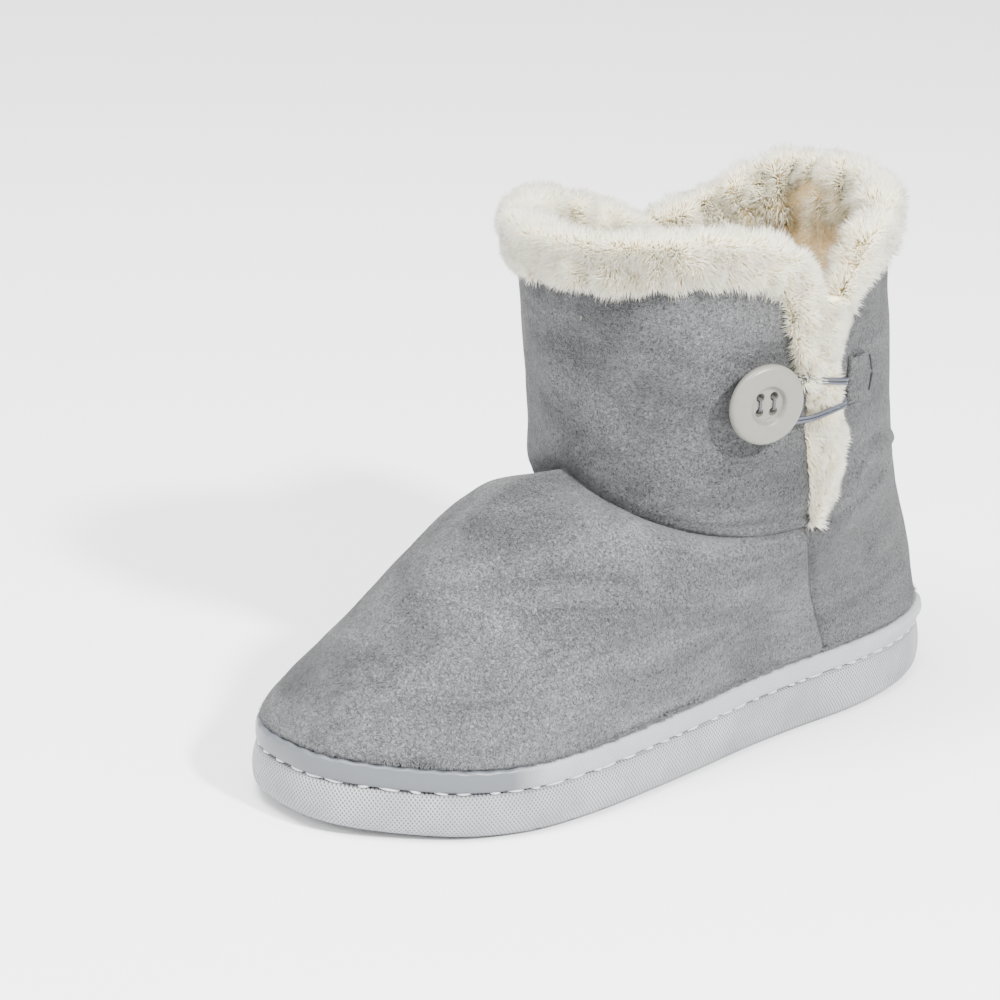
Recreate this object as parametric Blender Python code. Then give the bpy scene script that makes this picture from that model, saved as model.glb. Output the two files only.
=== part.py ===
"""Bootie slipper, left foot: a plush-lined ankle boot for the house, with a button and an elastic loop.

Metres, +Z up. The toe points along -Y and the outer side of the foot is +X. The shoe stands on the plane
z = 0, and its origin is the centre of its own box on that plane.
"""

import math

import bmesh
import bpy
import numpy as np

# Sole
LENGTH = 0.264
BALL_WIDTH = 0.102
HEEL_ROUNDNESS = 2.6
TOE_ROUNDNESS = 2.75
TOE_SWING = 0.0045
SOLE_HEEL = 0.0175
SOLE_WAIST = 0.0165
SOLE_FOREFOOT = 0.0150
TOE_SPRING = 0.0030
ARCH_LIFT = 0.0028
SOLE_EDGE_ROUND = 0.0032
SOLE_BULGE = 0.0010

# Tread grooves
GROOVE_WIDTH = 0.0024
GROOVE_DEPTH = 0.0016
GROOVE_PITCH = 0.0130
FOREFOOT_GROOVES = 6
FOREFOOT_GROOVE_START = 0.140
HEEL_GROOVES = 4
HEEL_GROOVE_START = 0.018

# Welt band, stitched round the base of the upper
BAND_HEIGHT = 0.0072
BAND_THICKNESS = 0.0032
BAND_ROUND = 0.0009

# Upper: the foot up to the ankle seam, and the shaft from there to the collar
WALL = 0.0030
ANKLE_BACK = 0.1040
ANKLE_FRONT = -0.0205
ANKLE_WIDTH = 0.0930
ANKLE_HEIGHT_FRONT = 0.0935
ANKLE_HEIGHT_SIDE = 0.0765
ANKLE_HEIGHT_BACK = 0.0990
FOOT_STRAIGHTNESS = 0.76
FOOT_SWELL = 0.0125
FEATHER = 0.0024
SEAM_DEPTH = 0.0024
COLLAR_BACK = 0.0915
COLLAR_FRONT = -0.0345
COLLAR_WIDTH = 0.0980
COLLAR_HEIGHT = 0.1800
SHAFT_PUFF = 0.0026

# Slit on the outer side of the shaft
SLIT_HEIGHT = 0.0760
SLIT_CENTRE = 0.0420
SLIT_WIDTH = 0.0170

# Fleece cuff, the strip in the slit, and the footbed
CUFF_FRONT_END = 0.1310
CUFF_BACK_END = 0.1500
CUFF_DROP = 0.0200
CUFF_DROP_BACK = 0.0150
CUFF_INNER_DROP = 0.0170
CUFF_THICKNESS = 0.0040
CUFF_INSIDE = 0.0075
CUFF_CAP = 0.0065
CUFF_TUFT = 0.0009
CUFF_GAP = 0.0005
CUFF_ROOF = 0.0012
STRIP_PROUD = 0.0020
STRIP_INSIDE = 0.0050
STRIP_TOP = 0.1440
STRIP_STEP_DROP = 0.0022
STRIP_STEP = 0.0006
INSOLE_THICKNESS = 0.0050

# Button, its thread, the elastic loop and the tab that holds the loop
BUTTON_DIAMETER = 0.0262
BUTTON_THICKNESS = 0.0046
BUTTON_WELL_DIAMETER = 0.0140
BUTTON_WELL_DEPTH = 0.0018
BUTTON_HOLE_DIAMETER = 0.0023
BUTTON_HOLE_SPACING = 0.0052
BUTTON_STANDOFF = 0.0034
BUTTON_HEIGHT = 0.1240
BUTTON_CENTRE = 0.0120
THREAD_DIAMETER = 0.0052
ELASTIC_DIAMETER = 0.0022
LOOP_WIDTH = 0.0170
LOOP_END_WIDTH = 0.0065
LOOP_RISE = 0.0032
LOOP_END_HEIGHT = 0.1210
LOOP_SAG = 0.0012
LOOP_END_GAP = 0.0012
LOOP_LIFT_START = 0.0240
LOOP_LIFT_LENGTH = 0.0080
LOOP_LAND_LENGTH = 0.0035
TAB_FRONT = 0.0562
TAB_LENGTH = 0.0085
TAB_HEIGHT = 0.0165
TAB_THICKNESS = 0.0018
TAB_CENTRE_HEIGHT = 0.1235

# Fit and resolution
GAP = 0.0003
SIDE_POINTS = 28
FOOT_ROWS = 8
SHAFT_ROWS = 6
CUFF_SECTIONS = 80
DENSE = 400
CUTTER_MARGIN = 0.004

# Stations of the sole from heel to toe: half widths as shares of half the ball width, before the ends
# are rounded.
OUTLINE = {
    "along": (0.00, 0.10, 0.20, 0.30, 0.40, 0.50, 0.60, 0.70, 0.80, 0.88, 0.94, 1.00),
    "outer": (0.76, 0.80, 0.80, 0.78, 0.81, 0.89, 0.97, 1.07, 1.15, 1.13, 1.02, 0.90),
    "inner": (0.76, 0.80, 0.77, 0.70, 0.66, 0.69, 0.80, 0.92, 0.99, 1.00, 0.95, 0.88),
}

# Thickness of the sole from heel to toe.
SOLE_SECTION = {
    "along": (0.0, 0.25, 0.5, 0.75, 1.0),
    "thickness": (SOLE_HEEL, SOLE_HEEL, SOLE_WAIST, SOLE_FOREFOOT, SOLE_FOREFOOT),
}

# The sole's side from the floor up: how far it is drawn in by its rounded foot, and how far it swells.
SOLE_SIDE = {
    "along": (0.0, 0.06, 0.16, 0.34, 0.60, 0.84, 1.0),
    "round": (1.0, 0.42, 0.08, 0.0, 0.0, 0.0, 0.10),
    "swell": (0.0, 0.0, 0.35, 0.90, 1.0, 0.40, 0.0),
}

# Height of the ankle seam from heel to toe, between its lowest place and its ends.
SEAM_RISE = {
    "along": (0.0, 0.15, 0.35, 0.50, 0.68, 0.85, 1.0),
    "rise": (1.0, 0.80, 0.20, 0.0, 0.04, 0.42, 1.0),
}

# Profile of the foot from the band to the ankle seam: how far it swells out in front, and how far up.
FOOT_PROFILE = {
    "along": (0.0, 0.05, 0.15, 0.33, 0.50, 0.68, 0.82, 0.92, 1.0),
    "swell": (0.0, 0.17, 0.24, 0.30, 0.52, 0.88, 1.0, 0.75, 0.0),
    "lift": (0.0, 0.0, 0.0, 0.0, 0.06, 0.22, 0.42, 0.46, 0.0),
}

# Height of the shaft's edge as a share of the collar's, once round: heel, outer side, front, inner side.
COLLAR_EDGE = {
    "along": (0.00, 0.10, 0.20, 0.35, 0.50, 0.58, 0.66, 0.73, 0.79, 0.86, 0.93, 1.00),
    "height": (0.98, 0.965, 0.93, 0.97, 0.965, 0.975, 0.965, 0.90, 0.845, 0.885, 0.955, 0.98),
}

# Edges of the slit from its foot up: heights as shares of the way to the collar, and the places of the
# edges as shares of the slit's width before (-) and behind (+) its centre.
SLIT_FRONT = {
    "along": (0.0, 0.30, 0.55, 0.68, 0.79, 0.87, 0.93, 0.965),
    "place": (-0.12, -0.50, -0.62, -0.68, -0.85, -1.30, -2.20, -3.20),
}
SLIT_BACK = {
    "along": (0.0, 0.15, 0.45, 0.70, 0.79, 0.86, 0.92),
    "place": (0.36, 0.80, 0.74, 0.56, 0.66, 1.10, 1.95),
}


# The fleece cuff's section: which length the row is a share of, the share, the face of the wall it stands
# on, the share of the fleece's thickness there, and how much of a lock is raised.
CUFF_SECTION = [
    ("outer", 1.00, "outside", 0.00, 0.0),
    ("outer", 1.03, "outside", 0.45, 0.6),
    ("outer", 0.97, "outside", 0.85, 1.0),
    ("outer", 0.78, "outside", 0.98, 1.0),
    ("outer", 0.58, "outside", 1.00, 1.0),
    ("outer", 0.38, "outside", 1.00, 1.0),
    ("outer", 0.18, "outside", 1.00, 1.0),
    ("outer", -0.02, "outside", 0.96, 1.0),
    ("cap", 0.55, "outside", 0.72, 1.0),
    ("cap", 0.92, "outside", 0.20, 1.0),
    ("cap", 1.00, "inside", -0.22, 1.0),
    ("cap", 0.92, "inside", 0.30, 1.0),
    ("cap", 0.50, "inside", 0.75, 1.0),
    ("inner", 0.30, "inside", 0.95, 1.0),
    ("inner", 0.70, "inside", 0.85, 1.0),
    ("inner", 1.00, "inside", 0.40, 0.5),
    ("inner", 1.00, "inside", 0.00, 0.0),
    ("inner", 0.50, "inside", 0.00, 0.0),
    ("roof", 1.00, "inside", 0.00, 0.0),
    ("roof", 1.00, "outside", 0.00, 0.0),
    ("outer", 0.50, "outside", 0.00, 0.0),
]


def table(columns, name, at):
    """A smooth curve through one column of a table: cubics with the slopes of the neighbours' chords."""
    knots = np.array(columns["along"])
    values = np.array(columns[name])
    slopes = np.gradient(values, knots)
    at = np.clip(np.asarray(at, float), knots[0], knots[-1])
    i = np.clip(np.searchsorted(knots, at, side="right") - 1, 0, len(knots) - 2)
    step = knots[i + 1] - knots[i]
    t = (at - knots[i]) / step
    return (
        values[i] * (1 + 2 * t) * (1 - t) ** 2
        + slopes[i] * step * t * (1 - t) ** 2
        + values[i + 1] * t**2 * (3 - 2 * t)
        + slopes[i + 1] * step * t**2 * (t - 1)
    )


def smooth(value):
    """0 below 0, 1 above 1, and an S curve between."""
    t = np.clip(value, 0, 1)
    return t * t * (3 - 2 * t)


def unit(vectors):
    """The vectors, each made one long."""
    return vectors / np.linalg.norm(vectors, axis=-1, keepdims=True)


def spaced(points, count):
    """The same line again, as count points an equal length apart."""
    steps = np.linalg.norm(np.diff(points, axis=0), axis=1)
    reach = np.concatenate([[0], np.cumsum(steps)])
    at = np.linspace(0, reach[-1], count)
    return np.stack([np.interp(at, reach, column) for column in points.T], axis=1)


def ring_of(outer_side, inner_side):
    """A closed ring from its two sides, each given from the heel to the toe."""
    outer = spaced(outer_side, SIDE_POINTS)
    inner = spaced(inner_side, SIDE_POINTS)
    return np.concatenate([outer, inner[-2:0:-1]])


def dense_shares():
    """Shares from heel to toe, close together at both ends."""
    return (1 - np.cos(np.linspace(0, math.pi, DENSE))) / 2


def inset_ring(ring, inset):
    """The ring moved inwards along its own normals."""
    ahead = unit(np.roll(ring, -1, axis=0) - np.roll(ring, 1, axis=0))
    return ring + inset * np.stack([ahead[:, 1], -ahead[:, 0]], axis=1)


def sole_ring(inset=0.0):
    """The plan of the sole, drawn in by inset all round."""
    along = dense_shares()
    power = np.where(along < 0.5, HEEL_ROUNDNESS, TOE_ROUNDNESS)
    half = BALL_WIDTH / 2 * (1 - np.abs(2 * along - 1) ** power).clip(0) ** (1 / power)
    swing = -TOE_SWING * smooth((along - 0.55) / 0.45)
    y = LENGTH / 2 - LENGTH * along
    outer = np.stack([swing + half * table(OUTLINE, "outer", along), y], axis=1)
    inner = np.stack([swing - half * table(OUTLINE, "inner", along), y], axis=1)
    return inset_ring(ring_of(outer, inner), inset)


def egg_ring(back, front, width):
    """An oval ring, fuller than an ellipse."""
    along = dense_shares()
    half = width / 2 * (1 - np.abs(2 * along - 1) ** 2.25).clip(0) ** (1 / 2.25)
    y = back + (front - back) * along
    return ring_of(np.stack([half, y], axis=1), np.stack([-half, y], axis=1))


def sole_bottom(ring):
    """Height of the sole's underside: the arch on its inner side and the toe spring lift it from the floor."""
    along = 0.5 - ring[:, 1] / LENGTH
    arch = smooth((along - 0.28) / 0.14) * smooth((0.58 - along) / 0.14)
    arch *= smooth(-ring[:, 0] / BALL_WIDTH * 3)
    return TOE_SPRING * np.clip((along - 0.76) / 0.24, 0, 1) ** 2 + ARCH_LIFT * arch


def sole_top(y):
    """Height of the sole's top face."""
    along = 0.5 - y / LENGTH
    spring = TOE_SPRING * np.clip((along - 0.76) / 0.24, 0, 1) ** 2
    return table(SOLE_SECTION, "thickness", along) + spring


def seam_height():
    """Height of the ankle seam at each point of a ring: low at the sides, high at the shin and the heel."""
    share = np.linspace(0, 1, SIDE_POINTS)
    share = np.concatenate([share, share[-2:0:-1]])
    high = np.where(share < 0.5, ANKLE_HEIGHT_BACK, ANKLE_HEIGHT_FRONT)
    return ANKLE_HEIGHT_SIDE + (high - ANKLE_HEIGHT_SIDE) * table(SEAM_RISE, "rise", share)


def at_place(ring, place):
    """Values of a ring at places counted in points round it."""
    place = np.asarray(place, float) % len(ring)
    i = np.floor(place).astype(int)
    t = (place - i).reshape(place.shape + (1,) * (ring.ndim - 1))
    return ring[i] * (1 - t) + ring[(i + 1) % len(ring)] * t


class Shaft:
    """The outer face of the tube from the ankle seam to the collar."""

    def __init__(self):
        self.ankle = egg_ring(ANKLE_BACK, ANKLE_FRONT, ANKLE_WIDTH)
        self.collar = egg_ring(COLLAR_BACK, COLLAR_FRONT, COLLAR_WIDTH)
        self.seam = seam_height()
        self.count = len(self.collar)
        self.step = np.linalg.norm(np.diff(self.collar[:2], axis=0))

    def edge_height(self, place):
        """Height of the shaft's edge before the slit is cut."""
        return COLLAR_HEIGHT * table(COLLAR_EDGE, "height", (np.asarray(place) % self.count) / self.count)

    def at(self, place, z):
        """Points of the outer face, at places round the ring and at heights."""
        seam = at_place(self.seam, place)
        t = ((z - seam) / (COLLAR_HEIGHT - seam))[..., None]
        ahead = (ANKLE_BACK - at_place(self.ankle, place)[..., 1:]) / (ANKLE_BACK - ANKLE_FRONT)
        ahead = smooth(ahead * 1.25)
        puff = SHAFT_PUFF * smooth(t / 0.16) * (1 - 0.6 * t) * (0.15 + 0.85 * ahead)
        plan = self.plan(self.ankle, place, 0.0) * (1 - t) + self.plan(self.collar, place, 0.0) * t
        outwards = self.plan(self.collar, place, -1.0) - self.plan(self.collar, place, 0.0)
        return np.concatenate([plan + outwards * puff, np.asarray(z)[..., None]], axis=-1)

    def plan(self, ring, place, inset):
        """Points of a ring drawn in by inset."""
        return at_place(inset_ring(ring, inset) if inset else ring, place)

    def normal(self, place, z):
        """Outward directions of the outer face."""
        across = self.at(place + 0.5, z) - self.at(place - 0.5, z)
        upward = self.at(place, z + 0.002) - self.at(place, z - 0.002)
        return unit(np.cross(upward, across))

    def place_of(self, y, z):
        """The place on the outer side that has this y at this height."""
        places = np.linspace(2, SIDE_POINTS - 3, 240)
        along = self.at(places, np.full(240, z))[:, 1]
        return np.interp(-y, -along, places)


def slit_edge(columns, count):
    """(y, z) along one edge of the slit, from its foot up."""
    along = np.linspace(0, columns["along"][-1], count)
    y = SLIT_CENTRE + SLIT_WIDTH * table(columns, "place", along)
    z = SLIT_HEIGHT + (COLLAR_HEIGHT - SLIT_HEIGHT) * along
    return np.stack([y, z], axis=1)


def upper_rows(shaft):
    """The outer face of the upper, as rings from the sole up to the collar."""
    base = sole_ring(BAND_THICKNESS + GAP)
    floor = sole_top(base[:, 1]) + GAP
    rows = [np.column_stack([base, floor])]
    low = floor + BAND_HEIGHT + GAP
    forward = 0.25 + 0.75 * (inset_ring(base, 1.0) - base)[:, 1:].clip(-1, 1)
    rows.append(np.column_stack([base, low]))
    for t in np.concatenate([[0.015], np.linspace(0.07, 0.91, FOOT_ROWS), [0.965, 1.0]]):
        inward = (1 - FOOT_STRAIGHTNESS) * (1 - math.cos(t * math.pi / 2)) + FOOT_STRAIGHTNESS * t
        rise = (1 - FOOT_STRAIGHTNESS) * math.sin(t * math.pi / 2) + FOOT_STRAIGHTNESS * t
        outward = FEATHER * (1 - t) + FOOT_SWELL * table(FOOT_PROFILE, "swell", t) * forward.clip(0, 1)
        plan = base + (shaft.ankle - base) * inward
        plan = inset_ring(plan, SEAM_DEPTH * (t == 1.0) - outward)
        lift = FOOT_SWELL * table(FOOT_PROFILE, "lift", t) * forward[:, 0].clip(0, 1)
        rows.append(np.column_stack([plan, low + (shaft.seam - low) * rise + lift]))
    places = np.arange(shaft.count, dtype=float)
    top = shaft.edge_height(places)
    for t in np.concatenate([[0.04, 0.11], np.linspace(0.22, 1.0, SHAFT_ROWS)]):
        rows.append(shaft.at(places, shaft.seam + (top - shaft.seam) * t))
    return np.array(rows)


def row_normals(rows):
    """Outward directions at each point of the rows."""
    across = np.roll(rows, -1, axis=1) - np.roll(rows, 1, axis=1)
    return unit(np.cross(np.gradient(rows, axis=0), across))


def material(name, colour, roughness):
    """A plain finish."""
    made = bpy.data.materials.new(name)
    made.use_nodes = True
    shader = made.node_tree.nodes["Principled BSDF"]
    shader.inputs["Base Color"].default_value = (*colour, 1.0)
    shader.inputs["Roughness"].default_value = roughness
    made.diffuse_color = (*colour, 1.0)
    return made


def add_object(name, points, faces, finish):
    """A mesh object whose faces all point outwards."""
    mesh = bpy.data.meshes.new(name)
    mesh.from_pydata([tuple(p) for p in points], [], faces)
    work = bmesh.new()
    work.from_mesh(mesh)
    bmesh.ops.recalc_face_normals(work, faces=work.faces)
    work.to_mesh(mesh)
    work.free()
    mesh.shade_smooth()
    mesh.materials.append(finish)
    made = bpy.data.objects.new(name, mesh)
    bpy.context.scene.collection.objects.link(made)
    return made


def quads_between(count, first, second):
    """The quads that join two closed rows of count points, whose first points are first and second."""
    return [(first + i, first + (i + 1) % count, second + (i + 1) % count, second + i) for i in range(count)]


def hollow_ring(name, rows, finish):
    """A solid like a bent tyre: its closed rings are joined one to the next, and the last to the first."""
    count = len(rows[0])
    faces = []
    for r in range(len(rows)):
        faces += quads_between(count, r * count, (r + 1) % len(rows) * count)
    return add_object(name, np.concatenate(rows), faces, finish)


def swept(name, sections, finish):
    """A solid through closed sections, with a face at each end."""
    count = len(sections[0])
    faces = []
    for r in range(len(sections) - 1):
        faces += quads_between(count, r * count, (r + 1) * count)
    faces.append(tuple(range(count)))
    faces.append(tuple((len(sections) - 1) * count + i for i in range(count)))
    return add_object(name, np.concatenate(sections), faces, finish)


def slab(name, rows, finish):
    """A solid whose sides follow the rows from bottom to top, closed across the first row and the last."""
    count = len(rows[0])
    last = SIDE_POINTS - 1
    faces = []
    for r in range(len(rows) - 1):
        faces += quads_between(count, r * count, (r + 1) * count)
    for first in (0, (len(rows) - 1) * count):
        for i in range(1, last - 1):
            faces.append((first + i, first + i + 1, first + count - i - 1, first + count - i))
        faces.append((first, first + 1, first + count - 1))
        faces.append((first + last - 1, first + last, first + last + 1))
    return add_object(name, np.concatenate(rows), faces, finish)


def cut_by(target, cutter):
    """Takes the cutter's shape out of the target."""
    cutter.hide_render = True
    cutter.display_type = "WIRE"
    modifier = target.modifiers.new("cut by " + cutter.name, "BOOLEAN")
    modifier.operation = "DIFFERENCE"
    modifier.solver = "EXACT"
    modifier.object = cutter


BOX_FACES = [(3, 2, 1, 0), (4, 5, 6, 7), (0, 1, 5, 4), (1, 2, 6, 5), (2, 3, 7, 6), (3, 0, 4, 7)]


def make_outsole(finish):
    """The moulded sole: tread, arch, toe spring, and a side that swells a little between its edges."""
    rows = []
    for t in SOLE_SIDE["along"]:
        drawn_in = SOLE_EDGE_ROUND * table(SOLE_SIDE, "round", t) - SOLE_BULGE * table(SOLE_SIDE, "swell", t)
        ring = sole_ring(float(drawn_in))
        low, high = sole_bottom(ring), sole_top(ring[:, 1])
        rows.append(np.column_stack([ring, low + (high - low) * t]))
    sole = slab("outsole", rows, finish)
    cut_by(sole, tread_cutter(finish))
    return sole


def tread_cutter(finish):
    """The grooves between the tread bars, under the forefoot and under the heel, as one cutter."""
    starts = [FOREFOOT_GROOVE_START + i * GROOVE_PITCH for i in range(FOREFOOT_GROOVES)]
    starts += [HEEL_GROOVE_START + i * GROOVE_PITCH for i in range(HEEL_GROOVES)]
    points, faces = [], []
    for start in starts:
        y = LENGTH / 2 - start
        top = GROOVE_DEPTH + float(sole_bottom(np.array([[BALL_WIDTH / 2, y - GROOVE_WIDTH / 2]]))[0])
        faces += [tuple(len(points) + i for i in face) for face in BOX_FACES]
        for z in (-CUTTER_MARGIN, top):
            points += [(-BALL_WIDTH, y - GROOVE_WIDTH, z), (BALL_WIDTH, y - GROOVE_WIDTH, z)]
            points += [(BALL_WIDTH, y, z), (-BALL_WIDTH, y, z)]
    return add_object("tread_cutter", points, faces, finish)


def make_band(finish):
    """The band round the base of the upper, standing on the edge of the sole."""
    profile = {
        "in": (BAND_THICKNESS, BAND_ROUND, 0, -BAND_ROUND / 3, 0, BAND_ROUND, BAND_THICKNESS),
        "up": (0, 0, BAND_ROUND, BAND_HEIGHT / 2, BAND_HEIGHT - BAND_ROUND, BAND_HEIGHT, BAND_HEIGHT),
    }
    rows = []
    for inset, up in zip(profile["in"], profile["up"]):
        ring = sole_ring(inset)
        rows.append(np.column_stack([ring, sole_top(ring[:, 1]) + GAP + up]))
    return hollow_ring("welt_band", rows, finish)


def slit_cutter(finish):
    """A prism across the outer wall in the shape of the slit, open at the top."""
    front = slit_edge(SLIT_FRONT, 20)
    back = slit_edge(SLIT_BACK, 16)
    top = COLLAR_HEIGHT + CUTTER_MARGIN
    outline = np.concatenate([front, [[front[-1, 0], top]], [[back[-1, 0], top]], back[::-1]])
    sides = (0.3 * ANKLE_WIDTH, COLLAR_WIDTH)
    sections = [np.column_stack([np.full(len(outline), x), outline]) for x in sides]
    return swept("slit_cutter", sections, finish)


def make_upper(shaft, finish):
    """The upper: one wall from the sole to the collar, with the slit cut through its outer side."""
    outer = upper_rows(shaft)
    inner = outer - row_normals(outer) * WALL
    inner[0, :, 2] = outer[0, :, 2]
    upper = hollow_ring("upper", [*outer, *inner[::-1]], finish)
    cut_by(upper, slit_cutter(finish))
    return upper


def collar_path(shaft):
    """(place, height) along the shaft's edge: up the slit's front edge, once round, and down to the slit."""
    ends = []
    for columns, start in ((SLIT_FRONT, CUFF_FRONT_END), (SLIT_BACK, CUFF_BACK_END)):
        edge = np.array([(shaft.place_of(y, z), z) for y, z in slit_edge(columns, 40)])
        cut = (edge[:, 1] > start) & (edge[:, 1] < shaft.edge_height(edge[:, 0]) - GAP)
        ends.append(edge[cut])
    first, last = ends[0], ends[1][::-1] + [shaft.count, 0]
    between = np.linspace(first[-1, 0], last[0, 0], 80)[1:-1]
    level = np.column_stack([between, shaft.edge_height(between)])
    return np.concatenate([first, level, last])


def make_cuff(shaft, finish):
    """The fleece cuff: a channel turned over the shaft's edge, with locks raised on its outer faces."""
    path = collar_path(shaft)
    scale = np.array([shaft.step, 1.0])
    path = spaced(path * scale, CUFF_SECTIONS) / scale
    ahead = unit(np.gradient(path * scale, axis=0))
    off_edge = np.stack([-ahead[:, 1], ahead[:, 0]], axis=1)
    share = np.linspace(0, 1, CUFF_SECTIONS)
    drop = CUFF_DROP + (CUFF_DROP_BACK - CUFF_DROP) * smooth((share - 0.45) / 0.2)
    drop *= (0.18 + 0.82 * smooth(share / 0.16)) * (0.35 + 0.65 * smooth((1 - share) / 0.10))
    wall = WALL + 2 * CUFF_GAP
    sections = []
    for i in range(CUFF_SECTIONS):
        reach = {"outer": -drop[i], "cap": CUFF_CAP, "inner": -CUFF_INNER_DROP, "roof": CUFF_ROOF}
        face = {"outside": (CUFF_GAP, CUFF_THICKNESS), "inside": (CUFF_GAP - wall, -CUFF_INSIDE)}
        rim = []
        for part, share_down, side, share_out, tuft in CUFF_SECTION:
            start, depth = face[side]
            rim.append((reach[part] * share_down, start + depth * share_out, tuft))
        rim = np.array(rim)
        surface = path[i] + rim[:, :1] * off_edge[i] / scale
        point = shaft.at(surface[:, 0], surface[:, 1])
        normal = shaft.normal(surface[:, 0], surface[:, 1])
        row = np.arange(len(rim))
        lock = CUFF_TUFT * np.sin(2.1 * i + 1.7 * row) * np.sin(0.9 * i - 2.3 * row)
        sections.append(point + normal * (rim[:, 1] + rim[:, 2] * lock * np.sign(rim[:, 1]))[:, None])
    return swept("fleece_cuff", sections, finish)


def make_strip(shaft, finish):
    """The fleece that shows in the slit: full width below the cuff's end, and behind the cuff above it."""
    front, back = slit_edge(SLIT_FRONT, 60), slit_edge(SLIT_BACK, 60)
    low, step = front[0, 1] + 2 * GAP, CUFF_FRONT_END - STRIP_STEP_DROP
    heights = [*np.linspace(low, step, 12), *np.linspace(step + STRIP_STEP, STRIP_TOP, 5)]
    profile = {
        "along": (0.0, 0.03, 0.3, 0.6, 0.95, 1.0, 1.0, 0.5, 0.0),
        "out": (0.0, 0.6, 1.1, 0.85, 0.6, 0.0, 1.0, 1.0, 1.0),
    }
    sections = []
    for i, z in enumerate(heights):
        start = np.interp(z, front[:, 1], front[:, 0]) + 2 * GAP
        end = np.interp(z, back[:, 1], back[:, 0]) - 2 * GAP
        if z > step:
            start += CUFF_CAP + 2 * CUFF_TUFT
        y = start + (end - start) * np.array(profile["along"])
        z_row = np.full(len(y), z)
        out = STRIP_PROUD * np.array(profile["out"])
        out[1:5] *= 1 + 0.35 * np.sin(2.4 * i + 2.0 * np.arange(4))
        out[6:] = -WALL - STRIP_INSIDE
        out[[0, 5]] = -WALL / 2
        x = shaft.at(shaft.place_of(y, z), z_row)[:, 0] + out
        sections.append(np.column_stack([x, y, z_row]))
    return swept("slit_fleece", sections, finish)


def make_insole(finish):
    """The footbed, lying on the sole inside the upper."""
    inset = BAND_THICKNESS + WALL + 3 * GAP
    rows = []
    for drawn_in, up in ((0.001, 0.0), (0.0, 0.001), (0.0, INSOLE_THICKNESS - 0.001), (0.001, INSOLE_THICKNESS)):
        ring = sole_ring(inset + drawn_in)
        rows.append(np.column_stack([ring, sole_top(ring[:, 1]) + GAP + up]))
    return slab("insole", rows, finish)


def button_frame(shaft):
    """The place on the shaft under the button's centre, and its directions: out, across and up."""
    height = np.array([BUTTON_HEIGHT])
    place = np.array([shaft.place_of(BUTTON_CENTRE, BUTTON_HEIGHT)])
    centre = shaft.at(place, height)[0]
    out = shaft.normal(place, height)[0]
    up = unit(np.array([0, 0, 1.0]) - out[2] * out)
    return centre, out, np.cross(up, out), up


def turned(name, frame, profile, finish, around):
    """A solid of revolution about the frame's outward direction: (radius, height) pairs, closed on the axis."""
    centre, out, across, up = frame
    angles = np.arange(around) * 2 * math.pi / around
    circle = np.cos(angles)[:, None] * across + np.sin(angles)[:, None] * up
    rows = [centre + circle * radius + out * height for radius, height in profile]
    return swept(name, rows, finish)


def make_button(shaft, finish):
    """The button: a raised rim round a well with four holes."""
    frame = button_frame(shaft)
    edge, well = BUTTON_DIAMETER / 2, BUTTON_WELL_DIAMETER / 2
    low, high = BUTTON_STANDOFF, BUTTON_STANDOFF + BUTTON_THICKNESS
    button = turned(
        "button",
        frame,
        [
            (0.45 * edge, low),
            (0.80 * edge, low + 0.05 * BUTTON_THICKNESS),
            (0.95 * edge, low + 0.30 * BUTTON_THICKNESS),
            (edge, low + 0.58 * BUTTON_THICKNESS),
            (0.97 * edge, low + 0.82 * BUTTON_THICKNESS),
            (0.88 * edge, high - 0.02 * BUTTON_THICKNESS),
            (0.76 * edge, high),
            (0.5 * (0.76 * edge + well), high - 0.12 * BUTTON_THICKNESS),
            (well, high - 0.55 * BUTTON_WELL_DEPTH),
            (0.90 * well, high - 0.92 * BUTTON_WELL_DEPTH),
            (0.70 * well, high - BUTTON_WELL_DEPTH),
        ],
        finish,
        30,
    )
    cut_by(button, button_holes(frame, finish))
    return button


def button_holes(frame, finish):
    """The button's four holes as one cutter."""
    centre, out, across, up = frame
    points, faces = [], []
    angles = np.arange(12) * math.pi / 6
    for side in (-0.5, 0.5):
        for level in (-0.5, 0.5):
            axis = centre + BUTTON_HOLE_SPACING * (side * across + level * up)
            ring = BUTTON_HOLE_DIAMETER / 2 * (np.cos(angles)[:, None] * across + np.sin(angles)[:, None] * up)
            first = len(points)
            points += [*(axis + ring + out * 0.001), *(axis + ring + out * (BUTTON_STANDOFF + BUTTON_THICKNESS))]
            faces += quads_between(12, first, first + 12)
            faces += [tuple(range(first, first + 12)), tuple(range(first + 12, first + 24))]
    return add_object("button_hole_cutter", points, faces, finish)


def make_shank(shaft, finish):
    """The thread wound between the shaft and the button."""
    radius = THREAD_DIAMETER / 2
    low, high = 2 * GAP, BUTTON_STANDOFF - GAP
    profile = [(0.9 * radius, low), (radius, low + 0.0004), (0.93 * radius, 0.5 * (low + high))]
    profile += [(radius, high - 0.0004), (0.9 * radius, high)]
    return turned("button_shank", button_frame(shaft), profile, finish, 16)


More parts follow.
